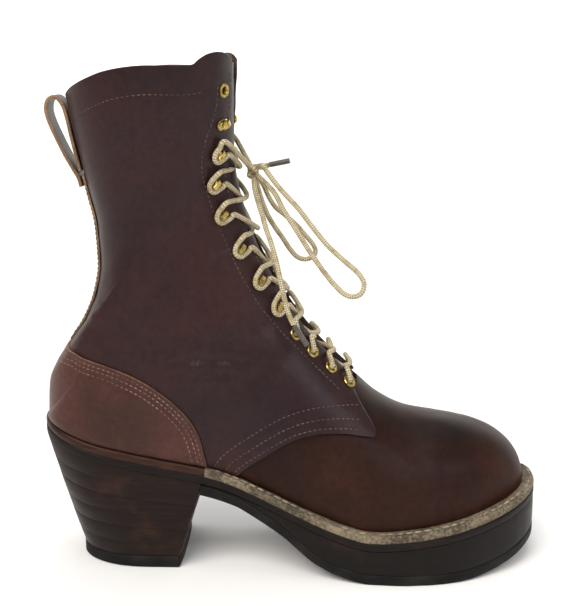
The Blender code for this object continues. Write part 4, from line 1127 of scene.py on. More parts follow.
@dataclass(frozen=True)
class FibreLeather:
    """Cut or fleshed vegetable-tanned leather: matt, with fibres drawn out along the piece."""

    name: str
    light: str
    dark: str
    grit_mm: float = 0.6
    stretch: tuple[float, float, float] = (1.0, 1.0, 2.2)
    roughness: float = 0.78
    height: float = 0.00018

    def make(self) -> bpy.types.Material:
        """Builds the material.

        Returns:
            The material.
        """
        material, tree, shader = bare_material(self.name)
        place = add_node(tree, "ShaderNodeTexCoord").outputs["Object"]
        turned = add_node(tree, "ShaderNodeMapping", {"Scale": self.stretch}, {"Vector": place})
        hair = {"Scale": 1000.0 / self.grit_mm / 4, "Detail": 5.0, "Roughness": 0.65}
        fibre = add_node(tree, "ShaderNodeTexNoise", hair, {"Vector": turned})
        patch = add_node(tree, "ShaderNodeTexNoise", {"Scale": 55.0, "Detail": 3.0}, {"Vector": place})
        mixed = add_node(tree, "ShaderNodeMath", {"operation": "MULTIPLY_ADD", 1: 0.55}, {0: patch, 2: fibre})
        share = add_node(tree, "ShaderNodeMapRange", between(0.635, 0.915, 0.0, 1.0), {"Value": mixed})
        tones = {"data_type": "RGBA", 6: linear(self.dark), 7: linear(self.light)}
        colour = add_node(tree, "ShaderNodeMix", tones, {0: share})
        bump = add_node(tree, "ShaderNodeBump", {"Strength": 0.6, "Distance": self.height}, {"Height": mixed})
        finish_shader(tree, shader, {"Roughness": self.roughness}, Base_Color=colour, Normal=bump)
        return material


@dataclass(frozen=True)
class StackedEdge:
    """A burnished, dark-stained leather edge: thin plies drawn as faint level streaks, scuffed brown."""

    name: str
    stain: str
    ply: str
    scuff: str
    ply_mm: float = 1.5
    roughness: float = 0.42

    def make(self) -> bpy.types.Material:
        """Builds the material.

        Returns:
            The material.
        """
        material, tree, shader = bare_material(self.name)
        place = add_node(tree, "ShaderNodeTexCoord").outputs["Object"]
        level = add_node(
            tree, "ShaderNodeMapping", {"Scale": (12.0, 12.0, 1000.0 / self.ply_mm)}, {"Vector": place}
        )
        streak = {"Scale": 1.0, "Detail": 4.0, "Roughness": 0.7, "Distortion": 0.15}
        plies = add_node(tree, "ShaderNodeTexNoise", streak, {"Vector": level})
        worn = {"Scale": 38.0, "Detail": 5.0, "Roughness": 0.6}
        patch = add_node(tree, "ShaderNodeTexNoise", worn, {"Vector": place})
        share = add_node(tree, "ShaderNodeMapRange", between(0.42, 0.72, 0.0, 0.85), {"Value": plies})
        tones = {"data_type": "RGBA", 6: linear(self.stain), 7: linear(self.ply)}
        plied = add_node(tree, "ShaderNodeMix", tones, {0: share})
        scuffed = add_node(tree, "ShaderNodeMapRange", between(0.56, 0.74, 0.0, 0.75), {"Value": patch})
        scuff = {"data_type": "RGBA", 7: linear(self.scuff)}
        colour = add_node(tree, "ShaderNodeMix", scuff, {0: scuffed, 6: plied})
        height = add_node(tree, "ShaderNodeMath", {"operation": "MULTIPLY_ADD", 1: 0.5}, {0: patch, 2: plies})
        bump = add_node(tree, "ShaderNodeBump", {"Strength": 0.5, "Distance": 0.00020}, {"Height": height})
        wax = between(0.3, 0.7, self.roughness - 0.10, self.roughness + 0.18)
        gloss = add_node(tree, "ShaderNodeMapRange", wax, {"Value": patch})
        constants = {"Specular IOR Level": 0.16}
        finish_shader(tree, shader, constants, Base_Color=colour, Roughness=gloss, Normal=bump)
        return material


@dataclass(frozen=True)
class WornFinish:
    """A plain stuff of two tones that wear has left in soft patches, over a fine relief of its own."""

    name: str
    first: str
    second: str
    patch: tuple[float, float, float]
    spread: tuple[float, float, float]
    roughness: tuple[float, float]
    relief: tuple[float, float, float, float] | None = None
    metallic: float = 0.0
    specular: float = 0.5

    def make(self) -> bpy.types.Material:
        """Builds the material.

        Returns:
            The material.
        """
        material, tree, shader = bare_material(self.name)
        place = {"Vector": add_node(tree, "ShaderNodeTexCoord").outputs["Object"]}
        scale, detail, rough = self.patch
        patch = {"Scale": scale, "Detail": detail, "Roughness": rough}
        wear = add_node(tree, "ShaderNodeTexNoise", patch, place)
        low, high, most = self.spread
        share = add_node(tree, "ShaderNodeMapRange", between(low, high, 0.0, most), {"Value": wear})
        tones = {"data_type": "RGBA", 6: linear(self.first), 7: linear(self.second)}
        links = {"Base_Color": add_node(tree, "ShaderNodeMix", tones, {0: share})}
        if self.relief:
            scale, detail, strength, depth = self.relief
            grit = add_node(tree, "ShaderNodeTexNoise", {"Scale": scale, "Detail": detail}, place)
            raised = {"Strength": strength, "Distance": depth}
            links["Normal"] = add_node(tree, "ShaderNodeBump", raised, {"Height": grit})
        constants = {"Metallic": self.metallic, "Specular IOR Level": self.specular}
        smooth_place, dull_place = self.roughness
        if smooth_place < dull_place:
            dull = between(0.4, 0.7, smooth_place, dull_place)
            links["Roughness"] = add_node(tree, "ShaderNodeMapRange", dull, {"Value": wear})
        else:
            constants["Roughness"] = smooth_place
        finish_shader(tree, shader, constants, **links)
        return material


@dataclass(frozen=True)
class BraidedCord:
    """Waxed round braid: strands crossing at a slant, cream with browner flecks, greyed by wear, and painted
    shade in the valleys between the strands.

    Its UV map runs once round the cord and, along it, one unit for each plait of the braid.
    """

    name: str = "waxed_braid"
    cream: str = "cdbf9c"
    fleck: str = "8a7852"
    groove: str = "5d523c"
    strands: int = 4

    def make(self) -> bpy.types.Material:
        """Builds the material.

        Returns:
            The material.
        """
        material, tree, shader = bare_material(self.name)
        coordinates = add_node(tree, "ShaderNodeTexCoord")
        split = add_node(tree, "ShaderNodeSeparateXYZ", {}, {"Vector": coordinates.outputs["UV"]})
        waves = []
        for sign in (1.0, -1.0):
            slant = {"operation": "MULTIPLY_ADD", 1: sign * self.strands}
            around = add_node(tree, "ShaderNodeMath", slant, {0: split.outputs["X"], 2: split.outputs["Y"]})
            turned = add_node(tree, "ShaderNodeMath", {"operation": "MULTIPLY", 1: 2 * math.pi}, {0: around})
            waves.append(add_node(tree, "ShaderNodeMath", {"operation": "SINE"}, {0: turned}))
        braid = add_node(tree, "ShaderNodeMath", {"operation": "MULTIPLY"}, dict(enumerate(waves)))
        dirt = {"Scale": 240.0, "Detail": 4.0}
        patch = add_node(tree, "ShaderNodeTexNoise", dirt, {"Vector": coordinates.outputs["Object"]})
        # Painted shade: the braid's valleys between the strands take the darker groove colour
        share = add_node(tree, "ShaderNodeMapRange", between(-0.75, 0.25, 0.0, 1.0), {"Value": braid})
        tones = {"data_type": "RGBA", 6: linear(self.groove), 7: linear(self.cream)}
        base = add_node(tree, "ShaderNodeMix", tones, {0: share})
        worn = add_node(tree, "ShaderNodeMapRange", between(0.48, 0.68, 0.0, 0.8), {"Value": patch})
        flecks = {"data_type": "RGBA", 7: linear(self.fleck)}
        colour = add_node(tree, "ShaderNodeMix", flecks, {0: worn, 6: base})
        bump = add_node(tree, "ShaderNodeBump", {"Strength": 0.7, "Distance": 0.00022}, {"Height": braid})
        finish_shader(tree, shader, {"Roughness": 0.60}, Base_Color=colour, Normal=bump)
        return material


class Finishes:
    """Every material of the boot, made once."""

    def __init__(self) -> None:
        """Builds the materials."""
        # Each leather's last colour is its painted sheen: grey-violet patches that stand in for the light's
        # sheen
        self.shaft = GrainLeather("oiled_shaft_leather", "1e1113", "2b1717", "341b17", "261a20").make()
        vamp = ("160a06", "26120b", "371c11", "261511", 0.42, 0.8, 0.00006, 0.13)
        self.vamp = GrainLeather("oiled_vamp_leather", *vamp).make()
        counter = ("371f1a", "472822", "523129", "463231", 0.33, 0.9, 0.00006)
        self.counter = GrainLeather("oiled_counter_leather", *counter).make()
        tongue = ("180d0a", "24140f", "2d1a14", "241a17", 0.5)
        self.tongue = GrainLeather("oiled_tongue_leather", *tongue).make()
        # A cut edge shows undyed, drum-tanned fibre, or fibre that the dye has filled
        self.cut_edge = FibreLeather("cut_leather_edge", "957656", "5c4230", 0.5).make()
        self.dyed_edge = FibreLeather("dyed_leather_edge", "4a342a", "2a1b15", 0.5).make()
        self.flesh = FibreLeather(
            "lining_leather", "644a39", "463226", 1.6, roughness=0.7, height=0.0001
        ).make()
        frayed = ("7f725c", "3e3429", 0.45, (1.0, 1.0, 1.0), 0.9, 0.0005)
        self.welt = FibreLeather("frayed_welt_leather", *frayed).make()
        self.insole = FibreLeather(
            "insole_leather", "b08a5e", "8a6844", 2.0, roughness=0.75, height=0.0001
        ).make()
        self.sole_edge = StackedEdge("stained_sole_edge", "0f0a08", "1a110d", "2a1d17").make()
        lifts = ("150c09", "23140e", "3a2419", 1.1, 0.40)
        self.heel_edge = StackedEdge("stacked_heel_leather", *lifts).make()
        self.rand = StackedEdge("burnished_rand_leather", "2a1710", "3f251a", "5c3d2d", 1.4, 0.36).make()
        # Moulded rubber is matt, with the fine dust that wear leaves in its skin
        moulded = ((46.0, 4.0, 0.5), (0.45, 0.75, 0.8), (0.62, 0.62), (420.0, 4.0, 0.4, 0.00015), 0.0, 0.16)
        self.rubber = WornFinish("moulded_rubber", "0d0c0b", "2a2622", *moulded).make()
        # Waxed linen thread shows its twist, and wax and handling darken it
        linen = ((90.0, 2.0, 0.5), (0.35, 0.65, 1.0), (0.66, 0.66), (900.0, 3.0, 0.5, 0.0001))
        self.seam_thread = WornFinish("waxed_seam_thread", "362821", "64503f", *linen).make()
        # The counter's thread is the seam's waxed thread painted lighter, a painted highlight on its rows
        self.highlit_counter_thread = WornFinish("waxed_counter_thread", "4c3a31", "8a7264", *linen).make()
        self.welt_thread = WornFinish("waxed_welt_thread", "5f5443", "a3967c", *linen).make()
        # Handling has dulled the brass: bright on its crests, brown tarnish between
        handled = ((380.0, 4.0, 0.6), (0.45, 0.70, 0.85), (0.20, 0.42), None, 1.0)
        self.brass = WornFinish("aged_brass", "b8a05c", "43340f", *handled).make()
        self.lace = BraidedCord().make()
        # Acetate film, rolled tight round the lace's end, is hard and slightly glossy
        film = ((600.0, 3.0, 0.5), (0.0, 1.0, 1.0), (0.30, 0.30))
        self.lace_tip = WornFinish("acetate_tip", "2c2823", "5d574c", *film).make()

    def leather(self, face: bpy.types.Material, raw: bool = True) -> list[bpy.types.Material]:
        """A leather piece's materials in the order of Skin, its cut edge raw or dyed."""
        return [face, self.cut_edge if raw else self.dyed_edge, self.flesh]




class Pattern(Enum):
    """What a Geometry Nodes tree sets along its points: a thread's stitch, or a copy of a made piece."""

    STITCH = "stitch"
    COPY = "copy"


class Station(NamedTuple):
    """A place on the boot's surface with its outward, away-from-throat and downward directions."""

    place: np.ndarray
    outward: np.ndarray
    away: np.ndarray
    down: np.ndarray


@dataclass
class Scatter:
    """A Geometry Nodes tree that sets stitches or copies of a piece on points with frames."""

    pattern: Pattern
    material: bpy.types.Material
    seed: int = 7
    jitter: float = 0.10

    def tree(self) -> tuple[bpy.types.NodeTree, dict[str, str]]:
        """Builds the tree.

        Returns:
            The tree, and the identifier of each of its named inputs.
        """
        tree = bpy.data.node_groups.new(f"{self.pattern.value}_row", "GeometryNodeTree")
        sockets = {"Points": "NodeSocketGeometry"}
        if self.pattern is Pattern.STITCH:
            sockets |= {"Length": "NodeSocketFloat", "Width": "NodeSocketFloat", "Height": "NodeSocketFloat"}
        else:
            sockets |= {"Piece": "NodeSocketObject"}
        names = {}
        for name, kind in sockets.items():
            names[name] = tree.interface.new_socket(name, in_out="INPUT", socket_type=kind).identifier
        tree.interface.new_socket("Mesh", in_out="OUTPUT", socket_type="NodeSocketGeometry")
        given = add_node(tree, "NodeGroupInput")
        axes = []
        for key in ("along", "outward"):
            named = {"data_type": "FLOAT_VECTOR", "Name": key}
            axes.append(add_node(tree, "GeometryNodeInputNamedAttribute", named))
        turning = {"primary_axis": "X", "secondary_axis": "Z"}
        turned = add_node(tree, "FunctionNodeAxesToRotation", turning, {0: axes[0], 1: axes[1]})
        links = {"Points": given.outputs["Points"], "Rotation": turned}
        if self.pattern is Pattern.STITCH:
            ball = {"Segments": 6, "Rings": 5, "Radius": 0.5}
            links["Instance"] = add_node(tree, "GeometryNodeMeshUVSphere", ball)
            sizes = {i: given.outputs[key] for i, key in enumerate(("Length", "Width", "Height"))}
            size = add_node(tree, "ShaderNodeCombineXYZ", links=sizes)
            spread = {"data_type": "FLOAT", 2: 1.0 - self.jitter, 3: 1.0 + self.jitter, "Seed": self.seed}
            vary = add_node(tree, "FunctionNodeRandomValue", spread).outputs[1]
            scaled = {0: size, "Scale": vary}
            links["Scale"] = add_node(tree, "ShaderNodeVectorMath", {"operation": "SCALE"}, scaled)
        else:
            piece = add_node(tree, "GeometryNodeObjectInfo", links={"Object": given.outputs["Piece"]})
            links["Instance"] = piece.outputs["Geometry"]
        made = add_node(tree, "GeometryNodeInstanceOnPoints", links=links)
        for kind in ("GeometryNodeRealizeInstances", "GeometryNodeSetShadeSmooth"):
            made = add_node(tree, kind, links={0: made})
        made = add_node(tree, "GeometryNodeSetMaterial", {"Material": self.material}, {0: made})
        add_node(tree, "NodeGroupOutput", links={0: made})
        return tree, names

    def build(
        self, name: str, frames: Sequence[Station], slot: str, nodes: Sequence[str] = (), **inputs: object
    ) -> bpy.types.Object:
        """Sets the pattern on every frame and turns it into a plain mesh.

        Args:
            name: the piece's name.
            frames: where each copy goes: its length lies along the frame's down direction.
            slot: the record's material slot.
            nodes: the solids that the piece stands for.
            inputs: the tree's other inputs by name.

        Returns:
            The finished piece.
        """
        mesh = bpy.data.meshes.new(name)
        mesh.from_pydata([tuple(f.place) for f in frames], [], [])
        for key, vectors in (("along", [f.down for f in frames]), ("outward", [f.outward for f in frames])):
            layer = mesh.attributes.new(key, "FLOAT_VECTOR", "POINT")
            layer.data.foreach_set("vector", np.asarray(vectors, float).ravel())
        obj = add_object(name, mesh)
        tree, names = self.tree()
        modifier = obj.modifiers.new("scatter", "NODES")
        modifier.node_group = tree
        for key, value in inputs.items():
            modifier[names[key]] = value
        settle(obj)
        bpy.data.node_groups.remove(tree)
        return dress(obj, [self.material], slot, *nodes)


class Skins:
    """The finished outer faces that seams and fittings are set on."""

    def __init__(self, *pieces: bpy.types.Object) -> None:
        """Reads the pieces' faces into one search tree.

        Args:
            pieces: what is read or joined.
        """
        points: list[Vector] = []
        faces: list[tuple] = []
        for piece in pieces:
            start = len(points)
            points += [vertex.co.copy() for vertex in piece.data.vertices]
            faces += [tuple(start + i for i in face.vertices) for face in piece.data.polygons]
        self.search = BVHTree.FromPolygons(points, faces)

    def from_side(self, x: float, z: float, side: Side) -> tuple[np.ndarray, np.ndarray] | None:
        """The outermost place at x and z seen from a side, with its normal, or None."""
        found = self.search.ray_cast(Vector((x, 0.2 * side.value, z)), Vector((0, -side.value, 0)))
        return None if found[0] is None else (np.array(found[0]), np.array(found[1]))

    def nearest(self, place: np.ndarray, outward: np.ndarray) -> tuple[np.ndarray, np.ndarray]:
        """The face's place under a point, looking in along its outward direction, with the normal there.

        Args:
            place: a point near the leather.
            outward: its outward direction.

        Returns:
            The place and its normal.
        """
        start = Vector(place + outward * 0.006)
        found = self.search.ray_cast(start, Vector(-outward), 0.02)
        if found[0] is None:
            return place, outward
        return np.array(found[0]), np.array(found[1])


@dataclass
class SeamRow:
    """A row of stitches: the stitches' sizes, and the distance from one stitch to the next."""

    pitch: float = 0.0030
    length: float = 0.0021
    width: float = 0.00062
    height: float = 0.00050
    proud: float = 0.00008

    def on_side(self, skins: Skins, line: np.ndarray, side: Side) -> list[Station]:
        """Frames of the stitches along a line seen from the side, in the frame's x and z."""
        spots = [skins.from_side(x, z, side) for x, z in evenly(line, self.pitch / 3)]
        return self.frames([spot for spot in spots if spot is not None])

    def on_places(
        self, skins: Skins, places: Sequence[np.ndarray], outward: Sequence[np.ndarray]
    ) -> list[Station]:
        """Frames of the stitches along places near the surface."""
        return self.frames([skins.nearest(p, o) for p, o in zip(places, outward)])

    def frames(self, spots: Sequence[tuple[np.ndarray, np.ndarray]]) -> list[Station]:
        """Frames a pitch apart on a line of surface places with their normals.

        Args:
            spots: surface places with their normals.

        Returns:
            The frames.
        """
        if len(spots) < 3:
            return []
        line = evenly(np.array([place for place, _ in spots]), self.pitch)
        places = np.array([place for place, _ in spots])
        made = []
        for i in range(1, len(line) - 1):
            near = int(np.argmin(np.linalg.norm(places - line[i], axis=1)))
            normal = unit(spots[near][1])
            ahead = unit(line[i + 1] - line[i - 1])
            made.append(Station(line[i] + normal * self.proud, normal, np.cross(normal, ahead), ahead))
        return made


@dataclass
class Upper:
    """The boot's leathers: lined vamp, tongue, two quarters, counter, back strap and pull loop."""

    finishes: Finishes
    quarter_first: int = 11
    tongue_rows: tuple[int, int] = (9, 33)
    ankle_rows: tuple[float, float] = (13.6, 18.4)
    throat_reach: float = 0.022
    row_step: float = 0.2
    columns: int = 100
    rows_of_seam: tuple[float, ...] = (0.0026, 0.0078, 0.0146)
    rows_of_counter: tuple[float, ...] = (0.0022, 0.0046, 0.0078)
    collar_seam: float = 0.0155
    punch: tuple[float, float] = (0.004, -0.0058)
    punch_sides: int = 14
    built: dict[str, bpy.types.Object] = field(default_factory=dict)

    def __post_init__(self) -> None:
        """Works out the seams' lines, which the relief and the stitches share."""
        edge = LAST.outline(QUARTER_EDGE)
        self.quarter_edge = edge
        lower = edge[(edge[:, 0] < LAST.place([0.1925, 0, 0])[0]) & (edge[:, 1] < 0.092)]
        self.quarter_seams = [offset_line(lower, distance) for distance in self.rows_of_seam]
        counter = LAST.outline(COUNTER_EDGE)
        self.counter_edge = counter
        shown = counter[counter[:, 0] > LAST.place([0.012, 0, 0])[0]]
        self.counter_seams = [offset_line(shown, -distance) for distance in self.rows_of_counter]
        rim = LAST.outline(RIM)
        collar = rim[(rim[:, 0] > LAST.place([0.014, 0, 0])[0]) & (rim[:, 0] < LAST.place([0.099, 0, 0])[0])]
        self.collar_line = offset_line(collar, -self.collar_seam)
        self.relief = Relief(CREASES, self.quarter_seams + [self.collar_line])
        self.counter_relief = Relief((), self.counter_seams, wave=0.0003)

    def wall(
        self, name: str, rows: np.ndarray, across: np.ndarray, out: tuple[float, float], relief: Relief
    ) -> bpy.types.Object:
        """A wall over the form between two distances, with the relief on both of its faces.

        Args:
            name: the piece's name.
            rows: its rows of the section table.
            across: its places across the sections.
            out: the distances out from the form of its grain face and of its flesh side.
            relief: the creases.

        Returns:
            The object.
        """
        form = LAST.place(LAST.form(rows, across, 0.0))
        lift = relief.height(form)[:, :, None] * grid_normals(form)
        far, near = (LAST.place(LAST.form(rows, across, distance)) for distance in out)
        return grid_wall(name, far + lift, near + lift)

    def across(self, side: Side | None = None) -> np.ndarray:
        """Places across the sections, from the outer foot to the inner foot or on one side alone.

        Args:
            side: one side, or None for both.

        Returns:
            The places, from -1 or 0 up.
        """
        half = np.linspace(0, 1, self.columns + 1)
        if side is Side.OUTER:
            return -half[::-1]
        return half if side is Side.INNER else np.concatenate([-half[:0:-1], half])

    def rows(self, first: float, last: float) -> np.ndarray:
        """Rows of the section table from first to last."""
        return np.linspace(first, last, round((last - first) / self.row_step) + 1)

    def throat_cutter(self) -> bpy.types.Object:
        """What opens the front, from its lower end to above the collar.

        Returns:
            The cutter.
        """
        rings = []
        for row in self.rows(self.quarter_first, len(SECTIONS) - 1):
            corners = LAST.form(row, [-1.0, 0.0, 1.0], 0.0)[0]
            axis = unit(corners[1] - (corners[0] + corners[2]) / 2)
            half = float(LAST.throat_half(row))
            ring = []
            for reach, side in ((-1, -1), (-1, 1), (1, 1), (1, -1)):
                ring.append(corners[1] + axis * reach * self.throat_reach + np.array([0, side * half, 0]))
            rings.append(ring)
        return ring_solid("throat_cut", LAST.place(rings), lambda ring, side: Skin.EDGE.value)

    def collar_cutter(self) -> bpy.types.Object:
        """What is above the collar's rim and its raised front corners.

        Returns:
            The cutter.
        """
        rim = LAST.outline(RIM)
        high = LAST.ball_stack + 1.2 * LAST.shaft
        low_x, high_x = -0.4 * LAST.length, 0.8 * LAST.length
        outline = [(low_x, rim[0][1]), *rim, (high_x, rim[-1][1]), (high_x, high), (low_x, high)]
        return side_prism("collar_cut", outline)

    def eyelet_cutter(self, fasteners: "Fasteners") -> bpy.types.Object:
        """The punched holes of the eyelets, through both leathers.

        Args:
            fasteners: the eyelets and hooks.

        Returns:
            The cutter.
        """
        turns = 2 * math.pi * np.arange(self.punch_sides) / self.punch_sides
        punches = []
        for station in fasteners.stations("eyelet"):
            around = np.outer(np.cos(turns), station.away) + np.outer(np.sin(turns), station.down)
            edge = station.place + around * fasteners.hole
            rings = [edge + station.outward * reach for reach in self.punch]
            punches.append(ring_solid("punch", np.array(rings), lambda ring, side: Skin.EDGE.value))
        return joined("eyelet_cut", punches)

    def finish(
        self, leather: bpy.types.Object, node: str, face: bpy.types.Material, raw_edge: bool = True
    ) -> None:
        """Applies a leather's cuts, dresses it for its node and keeps it.

        Args:
            leather: the piece.
            node: the node that it stands for.
            face: the finish of its grain face.
            raw_edge: False where its cut edges are dyed like its face.
        """
        if leather.modifiers:
            settle(leather)
            shaded(leather.data)
        self.built[node] = dress(leather, self.finishes.leather(face, raw_edge), "upper_leather", node)

    def build(self, fasteners: "Fasteners") -> None:
        """Builds every leather piece.

        Args:
            fasteners: the eyelets and hooks.
        """
        collar, throat = self.collar_cutter(), self.throat_cutter()
        holes = self.eyelet_cutter(fasteners)
        self.build_vamp(collar, throat, holes)
        self.build_quarters(collar, throat, holes)
        self.build_counter()
        discard(collar, throat, holes)
        self.build_tongue()
        self.build_strap()
        self.build_pull_loop()

    def build_vamp(self, *cutters: bpy.types.Object) -> None:
        """The vamp with the shaft's lining, one wall from the toe to the collar.

        Args:
            cutters: what opens it and punches its holes.
        """
        out = -(LAST.gap + QUARTER_WALL)
        rows = np.concatenate([np.linspace(0, 8, 49), self.rows(8, len(SECTIONS) - 1)[1:]])
        upper = self.wall("lined_vamp", rows, self.across(), (out, out - LINED_WALL), self.relief)
        for cutter in cutters:
            cut(upper, cutter)
        self.finish(upper, "upper", self.finishes.vamp, False)

    def build_quarters(self, *cutters: bpy.types.Object) -> None:
        """The shaft's outer leathers, over the vamp as far as their curved front edge.

        Args:
            cutters: what opens it and punches its holes.
        """
        edge = self.quarter_edge
        high = LAST.ball_stack + 1.3 * LAST.shaft
        back = -0.4 * LAST.length
        corners = [(edge[-1][0], high), (back, high), (back, 0.0), (edge[0][0], 0.0)]
        region = side_prism("quarter_cut", [*edge, *corners])
        ankle = self.ankle_rows
        rows = [self.rows(self.quarter_first - 1.2, ankle[0]), np.arange(ankle[0], ankle[1], 0.04)[1:]]
        rows = np.concatenate([*rows, self.rows(ankle[1], len(SECTIONS) - 1)])
        for side in Side:
            name = f"quarter_{side.name.lower()}"
            quarter = self.wall(f"{name}_leather", rows, self.across(side), (0.0, -QUARTER_WALL), self.relief)
            for vertex in quarter.data.vertices:
                vertex.co.y = side.value * max(side.value * vertex.co.y, LAST.gap / 2)
            cut(quarter, region, "INTERSECT")
            for cutter in cutters:
                cut(quarter, cutter)
            self.finish(quarter, name, self.finishes.shaft, False)
        discard(region)

    def build_counter(self) -> None:
        """The overlay round the heel."""
        edge = self.counter_edge
        outline = [*edge, (edge[-1][0], -0.1 * LAST.length), (edge[0][0], -0.1 * LAST.length)]
        region = side_prism("counter_cut", outline)
        rows = self.rows(14, 31)
        out = (LAST.gap + QUARTER_WALL, LAST.gap)
        counter = self.wall("heel_counter", rows, self.across(), out, self.counter_relief)
        cut(counter, region, "INTERSECT")
        self.finish(counter, "counter", self.finishes.counter)
        discard(region)

    def build_tongue(self) -> None:
        """The tongue, behind the throat from under the vamp to the collar."""
        rows = self.rows(*self.tongue_rows)
        steps = np.linspace(-1, 1, 41)
        far_out = -(LAST.gap + QUARTER_WALL + LINED_WALL + TONGUE_CLEARANCE)
        grids = []
        for out in (far_out, far_out - TONGUE_WALL):
            grid = []
            for row in rows:
                most = LAST.turn_at(row, float(LAST.throat_half(row)) + TONGUE_COVER)
                grid.append(LAST.form(row, steps * most, out)[0])
            grids.append(LAST.place(grid))
        normals = grid_normals(grids[0])
        soft = Relief((), wave=0.0006, wave_size=0.018).height(grids[0])[:, :, None] * normals
        dip = self.tongue_dip(rows)[:, None, None] * np.abs(steps)[None, :, None] ** 0.5 * normals
        tongue = grid_wall("tongue_leather", grids[0] + soft - dip, grids[1] + soft - dip)
        self.finish(tongue, "tongue", self.finishes.tongue)

    def tongue_dip(self, rows: np.ndarray) -> np.ndarray:
        """How far the lace under the lower facings presses the tongue in, at each row."""
        return 0.0026 * np.clip((17.5 - rows) / 2.5, 0, 1) * np.clip((rows - 9.5) / 1.5, 0, 1)

    def strap_grid(self, out: float) -> np.ndarray:
        """The back strap's points at a distance out from the form.

        Args:
            out: the distance outward from the form.

        Returns:
            The points, rows by columns by 3.
        """
        low = (COUNTER_EDGE[1].share * LAST.shaft + LAST.ball_stack + 2 * LAST.gap) - float(
            LAST.sole_top(LAST.heel_inset)
        )
        rises = np.linspace(low / LAST.back_height, STRAP_TOP, 90)
        sides = np.linspace(-STRAP_WIDTH / 2, STRAP_WIDTH / 2, 13)
        return LAST.place([[LAST.back_point(rise, side, out) for side in sides] for rise in rises])

    def build_strap(self) -> None:
        """The narrow overlay up the back, from the counter to the pull loop."""
        grids = [self.strap_grid(out)[:, ::-1] for out in (2 * LAST.gap + 0.0015, 2 * LAST.gap)]
        strap = grid_wall("back_strap_leather", grids[0], grids[1])
        self.finish(strap, "back_strap", self.finishes.shaft)

    def build_pull_loop(self) -> None:
        """A strip folded over the back of the collar, with rounded edges."""
        middle = []
        for rise, out in PULL_LOOP:
            place = LAST.back_place(rise, 0.0)
            middle.append((place[0] - out * PULL_LOOP_REACH, place[1]))
        line = LAST.place(np.insert(spline(middle, 0.0012), 1, 0.0, axis=1))
        ahead = unit(np.gradient(line, axis=0))
        out = np.stack([-ahead[:, 2], np.zeros(len(line)), ahead[:, 0]], axis=1)
        half, wall = PULL_LOOP_WIDTH / 2, PULL_LOOP_WALL / 2
        profile = [(-half, -0.6), (-half + 0.0004, -1), (half - 0.0004, -1), (half, -0.6)]
        profile += [(-y, -level) for y, level in profile]
        rings = np.stack([line + np.array([0, y, 0]) + out * level * wall for y, level in profile], axis=1)
        slots = [Skin.EDGE, Skin.GRAIN, Skin.EDGE, Skin.EDGE] * 2
        loop = ring_solid("pull_loop_strip", rings, lambda ring, side: slots[side if ring >= 0 else 0].value)
        self.finish(loop, "pull_loop", self.finishes.shaft)

    def stitch(self) -> None:
        """Sews the seams."""
        quarter = {side: Skins(self.built[f"quarter_{side.name.lower()}"]) for side in Side}
        counter = Skins(self.built["counter"])
        row = SeamRow()
        frames: list[Station] = []
        heel_frames: list[Station] = []
        for side in Side:
            for line in self.quarter_seams:
                frames += row.on_side(quarter[side], line, side)
            frames += row.on_side(quarter[side], self.collar_line, side)
            frames += self.facing_rows(quarter[side], row, side)
            for line in self.counter_seams:
                heel_frames += row.on_side(counter, line, side)
        grid = self.strap_grid(2 * LAST.gap + 0.0015)
        strap = Skins(self.built["back_strap"])
        for column in (1, -2):
            places = grid[2:-2, column]
            outward = np.tile([-1.0, 0.0, 0.0], (len(places), 1))
            frames += row.on_places(strap, places, outward)
        for name, thread, made in (
            ("seam_stitches", self.finishes.seam_thread, frames),
            ("counter_stitches", self.finishes.highlit_counter_thread, heel_frames),
        ):
            Scatter(Pattern.STITCH, thread).build(
                name, made, "upper_leather", Length=row.length, Width=row.width, Height=row.height
            )

    def facing_rows(self, skins: Skins, row: SeamRow, side: Side) -> list[Station]:
        """The rows before and behind the fasteners, joined below the collar's corner.

        Args:
            skins: the quarter's outer face.
            row: the stitches and their pitch.
            side: which side of the boot.

        Returns:
            The stitches' frames.
        """
        heights = np.linspace(0.300, 0.975, 90)
        front = [LAST.facing(height, side, 0.0052) for height in heights]
        top = [LAST.facing(0.975, side, inset) for inset in (0.0035, 0.0015)]
        spots = front + top
        frames = row.on_places(skins, [s.place for s in spots], [s.outward for s in spots])
        behind = [(0.975, 0.0030), (0.90, 0.0036), (0.75, 0.0048), (0.50, 0.0056), (0.30, 0.0062)]
        line = []
        for height, back in behind:
            place = LAST.facing(height, side).place
            line.append((place[0] - back, place[2] - 0.4 * back * (height < 0.6)))
        return frames + row.on_side(skins, spline(line, 0.002), side)


